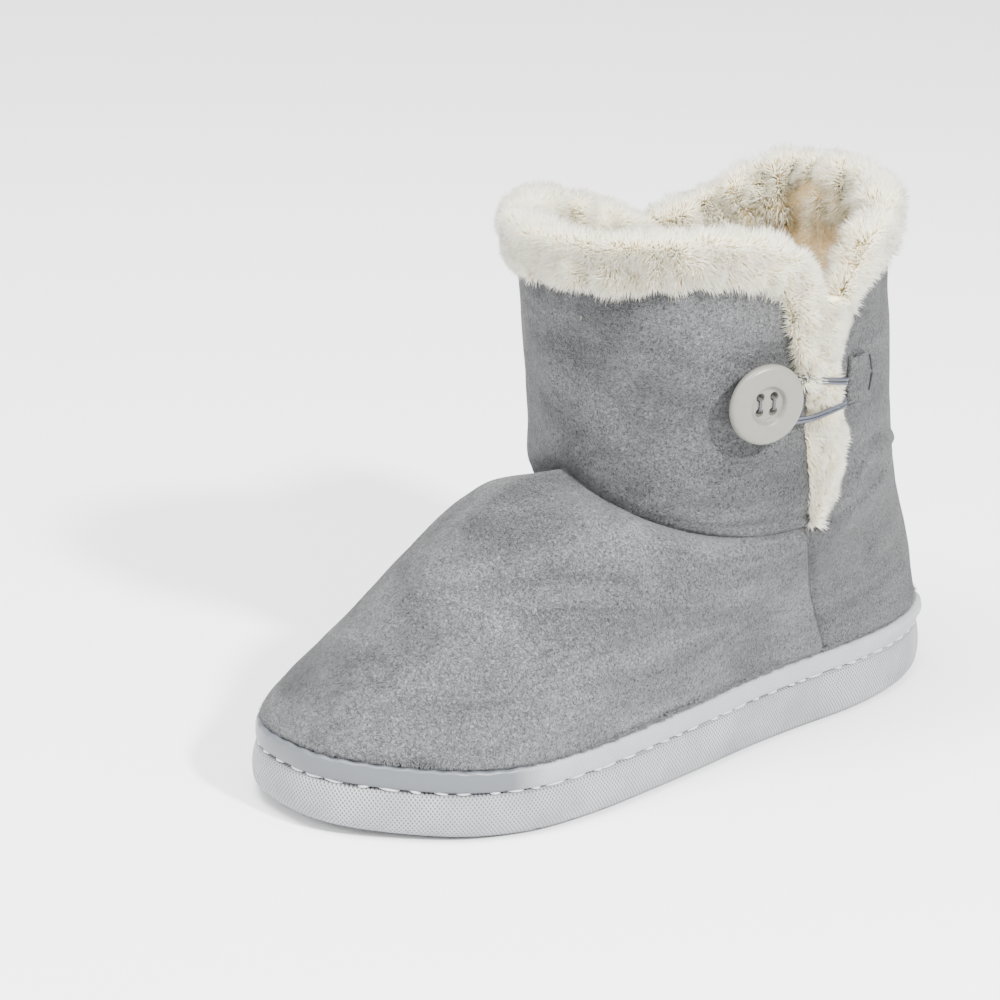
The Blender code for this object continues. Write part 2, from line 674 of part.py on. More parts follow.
def loop_line(shaft):
    """The middle line of the elastic loop: from the tab, round the button's thread and back to the tab."""
    end = TAB_FRONT - LOOP_END_GAP
    middle = BUTTON_HEIGHT - LOOP_SAG
    share = np.linspace(0, 1, 11)[:-1]
    y = end + (BUTTON_CENTRE - end) * share
    height = LOOP_END_HEIGHT + (middle - LOOP_END_HEIGHT) * share
    apart = LOOP_END_WIDTH + (LOOP_WIDTH - LOOP_END_WIDTH) * (1 - (1 - share) ** 1.3)
    turn = np.linspace(math.pi / 2, 1.5 * math.pi, 11)
    bend = LOOP_WIDTH / 2 * np.stack([np.cos(turn), np.sin(turn)], axis=1)
    upper = np.stack([y, height + apart / 2], axis=1)
    lower = np.stack([y, height - apart / 2], axis=1)[::-1]
    line = np.concatenate([upper, np.array([BUTTON_CENTRE, middle]) + bend, lower])
    over = smooth((line[:, 0] - LOOP_LIFT_START) / LOOP_LIFT_LENGTH)
    over = over * smooth((end - line[:, 0]) / LOOP_LAND_LENGTH)
    place = np.array([shaft.place_of(y, z) for y, z in line])
    out = ELASTIC_DIAMETER / 2 + GAP + LOOP_RISE * over
    return shaft.at(place, line[:, 1]) + shaft.normal(place, line[:, 1]) * out[:, None]


def make_loop(shaft, finish):
    """The elastic cord."""
    line = loop_line(shaft)
    ahead = unit(np.gradient(line, axis=0))
    out = unit(np.array([1.0, 0, 0]) - ahead * ahead[:, :1])
    across = np.cross(ahead, out)
    angles = np.arange(8) * math.pi / 4
    radius = ELASTIC_DIAMETER / 2
    sections = [
        line[i] + radius * (np.cos(angles)[:, None] * out[i] + np.sin(angles)[:, None] * across[i])
        for i in range(len(line))
    ]
    return swept("elastic_loop", sections, finish)


def make_tab(shaft, finish):
    """The patch of suede on the back panel that holds the ends of the loop."""
    heights = TAB_CENTRE_HEIGHT + TAB_HEIGHT * np.array([-0.5, -0.25, 0.0, 0.25, 0.5])
    profile = {
        "along": (0.0, 0.0, 0.12, 0.5, 0.9, 1.0, 0.75, 0.5, 0.25),
        "out": (0.0, 0.9, 1.0, 1.0, 0.85, 0.0, 0.0, 0.0, 0.0),
    }
    sections = []
    for z in heights:
        y = TAB_FRONT + TAB_LENGTH * np.array(profile["along"])
        out = GAP + TAB_THICKNESS * np.array(profile["out"])
        z_row = np.full(len(y), z)
        place = shaft.place_of(y, z)
        sections.append(shaft.at(place, z_row) + shaft.normal(place, z_row) * out[:, None])
    return swept("loop_tab", sections, finish)


def clear_scene():
    """Removes what the scene starts with."""
    for thing in list(bpy.data.objects):
        bpy.data.objects.remove(thing, do_unlink=True)


def stand_on_origin():
    """Moves everything so that the middle of the shoe's box is over the origin, with its foot on z = 0."""
    bpy.context.view_layer.update()
    depsgraph = bpy.context.evaluated_depsgraph_get()
    solids = [made.evaluated_get(depsgraph) for made in bpy.data.objects if not made.hide_render]
    corners = np.array([corner for solid in solids for corner in solid.bound_box])
    low, high = corners.min(axis=0), corners.max(axis=0)
    shift = np.array([(low[0] + high[0]) / 2, (low[1] + high[1]) / 2, low[2]])
    for made in bpy.data.objects:
        made.location = -shift


def main():
    """Builds the shoe."""
    clear_scene()
    suede = material("suede", (0.36, 0.37, 0.385), 0.95)
    rubber = material("sole rubber", (0.62, 0.63, 0.65), 0.7)
    trim = material("band", (0.50, 0.52, 0.54), 0.55)
    fleece = material("fleece", (0.86, 0.80, 0.68), 1.0)
    footbed = material("footbed fleece", (0.80, 0.72, 0.58), 1.0)
    shell = material("button", (0.53, 0.52, 0.48), 0.35)
    thread = material("button thread", (0.42, 0.43, 0.44), 0.9)
    elastic = material("elastic", (0.30, 0.33, 0.39), 0.6)
    shaft = Shaft()
    make_outsole(rubber)
    make_band(trim)
    make_upper(shaft, suede)
    make_cuff(shaft, fleece)
    make_strip(shaft, fleece)
    make_insole(footbed)
    make_button(shaft, shell)
    make_shank(shaft, thread)
    make_loop(shaft, elastic)
    make_tab(shaft, suede)
    stand_on_origin()


main()
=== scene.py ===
"""Looks of a left bootie slipper: napped suede cloth, fleece, ribbed sole, button and elastic loop.

Metres, +Z up, the toe along -Y and the outer side of the foot on +X, in the frame of the solids.
"""

import logging
import math
from dataclasses import dataclass, field
from enum import Enum

import bmesh
import bpy
import numpy as np
from mathutils import Matrix, Vector


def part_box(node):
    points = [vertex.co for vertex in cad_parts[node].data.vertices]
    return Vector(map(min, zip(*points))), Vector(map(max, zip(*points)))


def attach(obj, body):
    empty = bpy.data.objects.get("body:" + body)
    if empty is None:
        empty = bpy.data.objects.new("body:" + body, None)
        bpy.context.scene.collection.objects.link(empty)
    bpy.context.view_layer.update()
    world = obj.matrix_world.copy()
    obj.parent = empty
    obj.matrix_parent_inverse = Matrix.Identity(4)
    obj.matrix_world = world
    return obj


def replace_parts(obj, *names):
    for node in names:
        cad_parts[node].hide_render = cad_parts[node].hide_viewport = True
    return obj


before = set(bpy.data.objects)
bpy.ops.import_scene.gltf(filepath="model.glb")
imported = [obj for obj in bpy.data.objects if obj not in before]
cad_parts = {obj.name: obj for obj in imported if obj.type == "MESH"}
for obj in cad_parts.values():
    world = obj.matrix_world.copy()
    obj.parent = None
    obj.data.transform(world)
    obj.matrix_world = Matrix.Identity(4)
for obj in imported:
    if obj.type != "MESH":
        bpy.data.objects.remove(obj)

Array = np.ndarray
Colour = tuple[float, float, float, float]
Place = tuple[float, float, float]
Table = tuple[float, ...]
Socket = bpy.types.NodeSocket
Material = bpy.types.Material
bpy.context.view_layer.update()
BODY = "root"
UPWARDS = np.array([0.0, 0.0, 1.0])
OUTWARDS = np.array([1.0, 0.0, 0.0])
# How far from its line a crease acts through the cloth, and its share of the height at the line's ends.
CREASE_REACH = 0.012
CREASE_END = 0.15
# The cloth's unevenness, as heights and sizes of its lumps, and the seed that shaft and foot share.
UNEVENNESS = ((0.0007, 0.022), (0.0003, 0.009))
CLOTH_SEED = 31
# How many steps of a cloth's outer face make one of its inner face.
INNER_STEP = 6
COLLAR_MIDDLE = np.array([0.0, 0.03])
log = logging.getLogger("bootie slipper")


class Slot(Enum):
    """The record's material slots."""

    OUTSOLE = "outsole"
    BAND = "welt_band"
    UPPER = "upper"
    CUFF = "fleece_cuff"
    SLIT = "slit_fleece"
    INSOLE = "insole"
    BUTTON = "button"
    SHANK = "button_shank"
    ELASTIC = "elastic_loop"
    TAB = "loop_tab"


# Numbers on curves and surfaces


def ramp(value: Array | float) -> Array:
    """An S curve: 0 below 0, 1 above 1, and 3t^2 - 2t^3 between.

    Args:
        value: where on the curve.

    Returns:
        The height of the curve there.
    """
    t = np.clip(value, 0, 1)
    return t * t * (3 - 2 * t)


def unit(vectors: Array) -> Array:
    """Each vector divided by its length."""
    return vectors / np.maximum(np.linalg.norm(vectors, axis=-1, keepdims=True), 1e-12)


def through(knots: Table, values: Table, at: Array | float) -> Array:
    """A smooth curve through knots: cubics whose slopes are those of the neighbours' chords.

    Args:
        knots: places, rising.
        values: the curve's value at each.
        at: places to read.

    Returns:
        The values there.
    """
    x, y = np.array(knots), np.array(values)
    slopes = np.gradient(y, x)
    at = np.clip(np.asarray(at, float), x[0], x[-1])
    i = np.clip(np.searchsorted(x, at, side="right") - 1, 0, len(x) - 2)
    step = x[i + 1] - x[i]
    t = (at - x[i]) / step
    start = y[i] * (1 + 2 * t) * (1 - t) ** 2 + slopes[i] * step * t * (1 - t) ** 2
    return start + y[i + 1] * t**2 * (3 - 2 * t) + slopes[i + 1] * step * t**2 * (t - 1)


def reach_along(points: Array) -> Array:
    """The length of the line through points, from its start to each of them."""
    return np.concatenate([[0], np.cumsum(np.linalg.norm(np.diff(points, axis=0), axis=1))])


def spaced(points: Array, count: int) -> Array:
    """The line through points again, as points an equal length apart.

    Args:
        points: (points, dimensions) of the line.
        count: how many points to make.

    Returns:
        (count, dimensions) points.
    """
    reach = reach_along(points)
    at = np.linspace(0, reach[-1], count)
    return np.stack([np.interp(at, reach, column) for column in points.T], axis=1)


def inward(ring: Array) -> Array:
    """Unit normals in the plane of a closed ring, pointing to its inside."""
    ahead = unit(np.roll(ring, -1, axis=0) - np.roll(ring, 1, axis=0))
    return np.stack([ahead[:, 1], -ahead[:, 0]], axis=1)


def on_ring(ring: Array, share: Array) -> Array:
    """Values of a closed ring at shares of the way round, straight between its points.

    Args:
        ring: the value at each point, at equal shares of the way round.
        share: where to read.

    Returns:
        The values there.
    """
    place = np.asarray(share, float) % 1.0 * len(ring)
    i = np.floor(place).astype(int) % len(ring)
    t = (place - np.floor(place)).reshape(place.shape + (1,) * (ring.ndim - 1))
    return ring[i] * (1 - t) + ring[(i + 1) % len(ring)] * t


def lumps(points: Array, size: float, seed: int) -> Array:
    """Smooth noise from -1 to 1: random values at the corners of cubes, blended by an S curve.

    Args:
        points: places, (..., 3).
        size: the cubes' edge.
        seed: which noise.

    Returns:
        One value for each point.
    """
    scaled = points / size
    cell = np.floor(scaled).astype(np.int64)
    t = ramp(scaled - cell)
    total = np.zeros(points.shape[:-1])
    for corner in range(8):
        bits = np.array([corner & 1, corner >> 1 & 1, corner >> 2 & 1])
        x, y, z = np.moveaxis(cell + bits, -1, 0)
        mixed = (x * 73856093 ^ y * 19349663 ^ z * 83492791 ^ seed * 2654435) & 0x7FFFFFFF
        mixed = ((mixed ^ (mixed >> 13)) * 1274126177) & 0x7FFFFFFF
        value = ((mixed ^ (mixed >> 15)) & 0xFFFF) / 32767.5 - 1
        total += value * np.prod(np.where(bits, t, 1 - t), axis=-1)
    return total


def full_turn(around: int) -> Array:
    """Angles at equal steps once round."""
    return np.arange(around) * 2 * math.pi / around


def circles(angle: Array, side: Array, top: Array) -> Array:
    """Directions round a circle at each of many places: cos(angle) * side + sin(angle) * top.

    Args:
        angle: the angles.
        side: (places, 3) directions at angle 0.
        top: (places, 3) directions at a right angle to them.

    Returns:
        (places, angles, 3) directions.
    """
    return np.cos(angle)[None, :, None] * side[:, None] + np.sin(angle)[None, :, None] * top[:, None]


def lump_vectors(points: Array, size: float, seed: int) -> Array:
    """Three noises as a vector at each point."""
    return np.stack([lumps(points, size, seed + k) for k in range(3)], axis=-1)


def grid_normals(grid: Array, closed: bool) -> Array:
    """Normals of a grid of points: the cross product of its two directions.

    Args:
        grid: (rows, columns, 3).
        closed: whether the columns run once round.

    Returns:
        Unit vectors, on the side where rows x columns turn to the left.
    """
    if closed:
        across = np.roll(grid, -1, axis=1) - np.roll(grid, 1, axis=1)
    else:
        across = np.gradient(grid, axis=1)
    return unit(np.cross(np.gradient(grid, axis=0), across))


@dataclass(frozen=True)
class Crease:
    """A soft trough or ridge along a given line on the cloth."""

    line: tuple[Place, ...]
    width: float
    height: float
    fade: float = 0.25

    def lift(self, points: Array, normals: Array) -> Array:
        """How far the cloth moves out: height * exp(-(distance / width)^2), less near the line's ends.

        Args:
            points: places on the cloth, (..., 3).
            normals: the cloth's directions there. Distances are measured along the cloth.

        Returns:
            One distance for each point.
        """
        line = np.array(self.line)
        starts, steps = line[:-1], np.diff(line, axis=0)
        best = np.full(points.shape[:-1], np.inf)
        share = np.zeros(points.shape[:-1])
        for k in range(len(steps)):
            t = np.clip((points - starts[k]) @ steps[k] / (steps[k] @ steps[k]), 0, 1)
            offset = points - starts[k] - t[..., None] * steps[k]
            through_cloth = (offset * normals).sum(axis=-1)
            apart = np.linalg.norm(offset - through_cloth[..., None] * normals, axis=-1)
            apart = np.where(np.abs(through_cloth) > CREASE_REACH, np.inf, apart)
            share = np.where(apart < best, (k + t) / len(steps), share)
            best = np.minimum(best, apart)
        fade = ramp(share / self.fade) * ramp((1 - share) / self.fade)
        return self.height * np.exp(-((best / self.width) ** 2)) * (CREASE_END + (1 - CREASE_END) * fade)


# Meshes


@dataclass
class Body:
    """A mesh being put together: points, quads and triangles, with each point's texture place and tints."""

    points: Array
    quads: Array = field(default_factory=lambda: np.zeros((0, 4), int))
    tris: Array = field(default_factory=lambda: np.zeros((0, 3), int))
    cloth: Array | None = None
    tints: dict[str, Array] = field(default_factory=dict)

    def make(self, name: str, finish: Material, slot: Slot, turn: bool = True) -> bpy.types.Object:
        """Puts the body into the scene as one piece that rides on the shoe.

        Args:
            name: the piece's name.
            finish: its material.
            slot: not used.
            turn: whether its faces are turned to the outside first.

        Returns:
            The object.
        """
        mesh = bpy.data.meshes.new(name)
        mesh.vertices.add(len(self.points))
        mesh.vertices.foreach_set("co", (self.points + SHIFT).astype(np.float32).ravel())
        corners = np.concatenate([self.quads.ravel(), self.tris.ravel()]).astype(np.int32)
        mesh.loops.add(len(corners))
        mesh.loops.foreach_set("vertex_index", corners)
        starts = np.arange(len(self.quads)) * 4
        starts = np.concatenate([starts, 4 * len(self.quads) + np.arange(len(self.tris)) * 3])
        mesh.polygons.add(len(starts))
        mesh.polygons.foreach_set("loop_start", starts.astype(np.int32))
        mesh.update(calc_edges=True)
        if self.cloth is not None:
            self.lay_cloth(mesh, corners)
        for tint, values in self.tints.items():
            mesh.attributes.new(tint, "FLOAT", "POINT").data.foreach_set("value", values.astype(np.float32))
        if turn:
            work = bmesh.new()
            work.from_mesh(mesh)
            bmesh.ops.recalc_face_normals(work, faces=work.faces)
            work.to_mesh(mesh)
            work.free()
        mesh.shade_smooth()
        mesh.materials.append(finish)
        made = bpy.data.objects.new(name, mesh)
        bpy.context.scene.collection.objects.link(made)
        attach(made, BODY)
        triangles = 2 * len(self.quads) + len(self.tris)
        log.info("%s: %d triangles", name, triangles)
        return made

    def lay_cloth(self, mesh: bpy.types.Mesh, corners: Array) -> None:
        """Writes the texture places, in metres, and carries them on past a ring's last column.

        Args:
            mesh: the mesh.
            corners: the point at each corner of its faces.
        """
        places = self.cloth[corners].copy()
        length = self.cloth[:, 0].max()
        quads = places[: 4 * len(self.quads)].reshape(-1, 4, 2)
        wraps = np.ptp(quads[:, :, 0], axis=1) > length / 2
        quads[:, :, 0] += (wraps[:, None] & (quads[:, :, 0] < length / 2)) * length
        places[: 4 * len(self.quads)] = quads.reshape(-1, 2)
        layer = mesh.uv_layers.new(name="cloth")
        layer.data.foreach_set("uv", places.astype(np.float32).ravel())


def grid_quads(rows: int, columns: int, closed: bool, first: int = 0) -> Array:
    """Quads of a grid of points numbered row by row.

    Args:
        rows: how many rows.
        columns: how many columns.
        closed: whether the last column joins the first.
        first: the number of the first point.

    Returns:
        (quads, 4) point numbers.
    """
    i, j = np.meshgrid(np.arange(rows - 1), np.arange(columns if closed else columns - 1), indexing="ij")
    beside = (j + 1) % columns
    low, high = i * columns, (i + 1) * columns
    quads = np.stack([low + j, low + beside, high + beside, high + j], axis=-1)
    return quads.reshape(-1, 4) + first


def end_caps(rings: int, around: int) -> Array:
    """Triangles that close a tube of rings: a fan over its first ring and one over its last.

    Args:
        rings: how many rings.
        around: points in each.

    Returns:
        (triangles, 3) point numbers.
    """
    fan = np.arange(1, around - 1)
    ends = np.stack([np.zeros_like(fan), fan, fan + 1], axis=1)
    return np.concatenate([ends, ends[:, ::-1] + (rings - 1) * around])


def closed_tube(grid: Array) -> Body:
    """A tube of rings with both its ends closed, from its (rings, around, 3) points."""
    rings, around = grid.shape[:2]
    return Body(grid.reshape(-1, 3), grid_quads(rings, around, True), end_caps(rings, around))


def rim_between(fine: Array, coarse: Array) -> Array:
    """Triangles between an edge of many points and one of few that runs beside it.

    Args:
        fine: point numbers, a multiple of the coarse steps plus one.
        coarse: point numbers.

    Returns:
        (triangles, 3) point numbers.
    """
    skip = (len(fine) - 1) // (len(coarse) - 1)
    k = np.arange(len(fine) - 1)
    step, part = k // skip, k % skip
    near = np.where(part < skip // 2, coarse[step], coarse[step + 1])
    fans = np.stack([fine[k], fine[k + 1], near], axis=1)
    half = fine[np.arange(len(coarse) - 1) * skip + skip // 2]
    return np.concatenate([fans, np.stack([half, coarse[1:], coarse[:-1]], axis=1)])


def shell(outer: Array, wall: float, closed: bool, skip: int) -> Body:
    """A wall with a fine outer face and a coarse inner one, joined all round their edges.

    Args:
        outer: (rows, columns, 3) points of the outer face.
        wall: the wall's thickness.
        closed: whether the columns run once round.
        skip: how many outer steps make one inner step.

    Returns:
        The closed body.
    """
    rows, columns = outer.shape[:2]
    normals = grid_normals(outer, closed)
    inner = (outer - normals * wall)[::skip, ::skip]
    low_rows, low_columns = inner.shape[:2]
    base = rows * columns
    number = np.arange(base).reshape(rows, columns)
    low = base + np.arange(low_rows * low_columns).reshape(low_rows, low_columns)
    tris = []
    for edge in (0, -1):
        fine, coarse = number[edge], low[edge]
        if closed:
            fine, coarse = np.append(fine, fine[0]), np.append(coarse, coarse[0])
        tris.append(rim_between(fine, coarse))
        if not closed:
            tris.append(rim_between(number[:, edge], low[:, edge]))
    quads = [grid_quads(rows, columns, closed), grid_quads(low_rows, low_columns, closed, base)[:, ::-1]]
    points = np.concatenate([outer.reshape(-1, 3), inner.reshape(-1, 3)])
    return Body(points, np.concatenate(quads), np.concatenate(tris))


def tube(line: Array, radius: float, around: int, out: Array) -> Body:
    """A round cord along a line, with rounded ends: a circle at each point, shrunk at both ends.

    Args:
        line: (points, 3) middle line.
        radius: the cord's radius.
        around: points round the cord.
        out: a direction that is nowhere along the line.

    Returns:
        The closed body, with its texture places along and around the cord.
    """
    ahead = unit(np.gradient(line, axis=0))
    line = np.concatenate([line[:1] - ahead[:1] * radius * 0.7, line, line[-1:] + ahead[-1:] * radius * 0.7])
    ahead = unit(np.gradient(line, axis=0))
    side = unit(np.cross(ahead, out))
    top = np.cross(side, ahead)
    size = np.full(len(line), radius)
    size[[0, -1]] = 0.35 * radius
    size[[1, -2]] = 0.85 * radius
    angle = full_turn(around)
    points = line[:, None] + circles(angle, side, top) * size[:, None, None]
    count = len(line)
    cloth = np.stack(np.broadcast_arrays(angle[None] * radius, reach_along(line)[:, None]), axis=-1)
    quads, tris = grid_quads(count, around, True), end_caps(count, around)
    return Body(points.reshape(-1, 3), quads, tris, cloth.reshape(-1, 2))


def joined(bodies: list[Body]) -> Body:
    """Several bodies as one, each keeping its own faces.

    Args:
        bodies: the bodies, all with the same tints.

    Returns:
        The one body.
    """
    firsts = np.cumsum([0] + [len(body.points) for body in bodies[:-1]])
    return Body(
        np.concatenate([body.points for body in bodies]),
        np.concatenate([body.quads + first for body, first in zip(bodies, firsts)]),
        np.concatenate([body.tris + first for body, first in zip(bodies, firsts)]),
        None if bodies[0].cloth is None else np.concatenate([body.cloth for body in bodies]),
        {k: np.concatenate([body.tints[k] for body in bodies]) for k in bodies[0].tints},
    )


# Finishes


class Nodes:
    """A node tree being built, with short ways to add nodes and join them."""

    def __init__(self, tree: bpy.types.NodeTree) -> None:
        """Keeps the tree."""
        self.tree = tree

    def add(self, kind: str, inputs: dict | None = None, **settings: object) -> bpy.types.Node:
        """Adds a node.

        Args:
            kind: its type's name.
            inputs: by socket name or number, a value or the socket it is joined to.
            settings: the node's own settings.

        Returns:
            The node.
        """
        node = self.tree.nodes.new(kind)
        for name, value in settings.items():
            setattr(node, name, value)
        self.give(node, inputs or {})
        return node

    def give(self, node: bpy.types.Node, inputs: dict) -> None:
        """Sets a node's inputs.

        Args:
            node: the node.
            inputs: by socket name or number, a value or the socket it is joined to.
        """
        for name, value in inputs.items():
            if isinstance(value, Socket):
                self.tree.links.new(value, node.inputs[name])
            else:
                node.inputs[name].default_value = value

    def math(self, operation: str, a: object, b: object = 0.0, c: object = 0.0) -> Socket:
        """The result of a Math node."""
        return self.add("ShaderNodeMath", {0: a, 1: b, 2: c}, operation=operation).outputs[0]

    def weighted(self, first: Socket, weight: float, second: Socket, other_weight: float) -> Socket:
        """The sum of two values, each times its weight."""
        first, second = self.math("MULTIPLY", first, weight), self.math("MULTIPLY", second, other_weight)
        return self.math("ADD", first, second)

    def noise(self, place: Socket, scale: object, detail: float = 2.0, rough: float = 0.5,
              twist: float = 0.0) -> Socket:
        """The value of a noise texture at a place, with scale repeats a metre."""
        inputs = {"Vector": place, "Scale": scale, "Detail": detail, "Roughness": rough, "Distortion": twist}
        return self.add("ShaderNodeTexNoise", inputs).outputs["Fac"]

    def stretch(self, value: object, low: float, high: float, to_low: float = 0.0,
                to_high: float = 1.0) -> Socket:
        """A value carried from one range to another, held at its ends."""
        inputs = {"Value": value, "From Min": low, "From Max": high, "To Min": to_low, "To Max": to_high}
        return self.add("ShaderNodeMapRange", inputs).outputs[0]

    def mix(self, share: object, first: object, second: object, blend: str = "MIX") -> Socket:
        """A mix of two colours.

        Args:
            share: how much of the second colour is taken.
            first: the first colour.
            second: the second colour.
            blend: how they are mixed.

        Returns:
            The mixed colour.
        """
        inputs = {0: share, 6: first, 7: second}
        return self.add("ShaderNodeMix", inputs, data_type="RGBA", blend_type=blend).outputs[2]

    def shade(self, colour: Socket, factor: Socket) -> Socket:
        """A colour made lighter or darker by a factor."""
        grey = self.add("ShaderNodeCombineColor", {0: factor, 1: factor, 2: factor}).outputs[0]
        return self.mix(1.0, colour, grey, "MULTIPLY")

    def bump(self, height: Socket, depth: float, strength: float) -> Socket:
        """A normal from a height, depth metres high."""
        inputs = {"Height": height, "Distance": depth, "Strength": strength}
        return self.add("ShaderNodeBump", inputs).outputs["Normal"]


def shared_group(name: str, takes: dict[str, tuple[str, object]], gives: dict[str, str]) -> tuple:
    """A new node group.

    Args:
        name: its name.
        takes: input names with their socket type and first value.
        gives: output names with their socket type.

    Returns:
        The group, its Nodes, its input node and its output node.
    """
    group = bpy.data.node_groups.new(name, "ShaderNodeTree")
    for socket, (kind, value) in takes.items():
        made = group.interface.new_socket(socket, in_out="INPUT", socket_type=kind)
        if value is not None:
            made.default_value = value
    for socket, kind in gives.items():
        group.interface.new_socket(socket, in_out="OUTPUT", socket_type=kind)
    nodes = Nodes(group)
    return group, nodes, nodes.add("NodeGroupInput"), nodes.add("NodeGroupOutput")


def nap_group() -> bpy.types.NodeTree:
    """Nap of brushed cloth: short curled hairs, small tufts and brushed patches.

    Returns:
        A group that takes a place and grain size, and gives grain, patches and height.
    """
    takes = {"Place": ("NodeSocketVector", None), "Grain": ("NodeSocketFloat", 1500.0)}
    gives = {"Grain": "NodeSocketFloat", "Patches": "NodeSocketFloat", "Height": "NodeSocketFloat"}
    group, nodes, taken, given = shared_group("nap", takes, gives)
    place, grain = taken.outputs["Place"], taken.outputs["Grain"]
    hairs = nodes.noise(place, grain, 2.0, 0.6, 1.2)
    tufts = nodes.noise(place, 760.0, 2.0, 0.6, 1.0)
    lie = {"Vector": place, "Rotation": (0.5, 0.2, 0.6), "Scale": (1.0, 0.45, 1.6)}
    clouds = nodes.noise(nodes.add("ShaderNodeMapping", lie).outputs[0], 36.0, 5.0, 0.68, 0.6)
    wide = nodes.noise(place, 15.0, 1.0, 0.5)
    mixed = nodes.weighted(nodes.stretch(hairs, 0.40, 0.60), 0.72, nodes.stretch(tufts, 0.40, 0.60), 0.28)
    patches = nodes.weighted(nodes.stretch(clouds, 0.38, 0.62), 0.6, nodes.stretch(wide, 0.38, 0.62), 0.4)
    nodes.give(given, {"Grain": mixed, "Patches": patches, "Height": mixed})
    return group


def weave_group() -> bpy.types.NodeTree:
    """Two sets of fine diagonal ribs that cross: the larger of two sine waves of the texture place.

    Returns:
        A group that takes a place in metres and the ribs' turns a metre, and gives the height.
    """
    takes = {"Place": ("NodeSocketVector", None), "Turns": ("NodeSocketFloat", 5200.0),
             "Lean": ("NodeSocketFloat", 0.8)}
    group, nodes, taken, given = shared_group("weave", takes, {"Height": "NodeSocketFloat"})
    split = nodes.add("ShaderNodeSeparateXYZ", {0: taken.outputs["Place"]})
    along = nodes.math("MULTIPLY", split.outputs[0], taken.outputs["Turns"])
    up = nodes.math("MULTIPLY", nodes.math("MULTIPLY", split.outputs[1], taken.outputs["Turns"]),
                    taken.outputs["Lean"])
    first = nodes.math("SINE", nodes.math("ADD", along, up))
    second = nodes.math("SINE", nodes.math("SUBTRACT", along, up))
    height = nodes.stretch(nodes.math("MAXIMUM", first, second), -0.6, 1.0)
    nodes.give(given, {"Height": height})
    return group


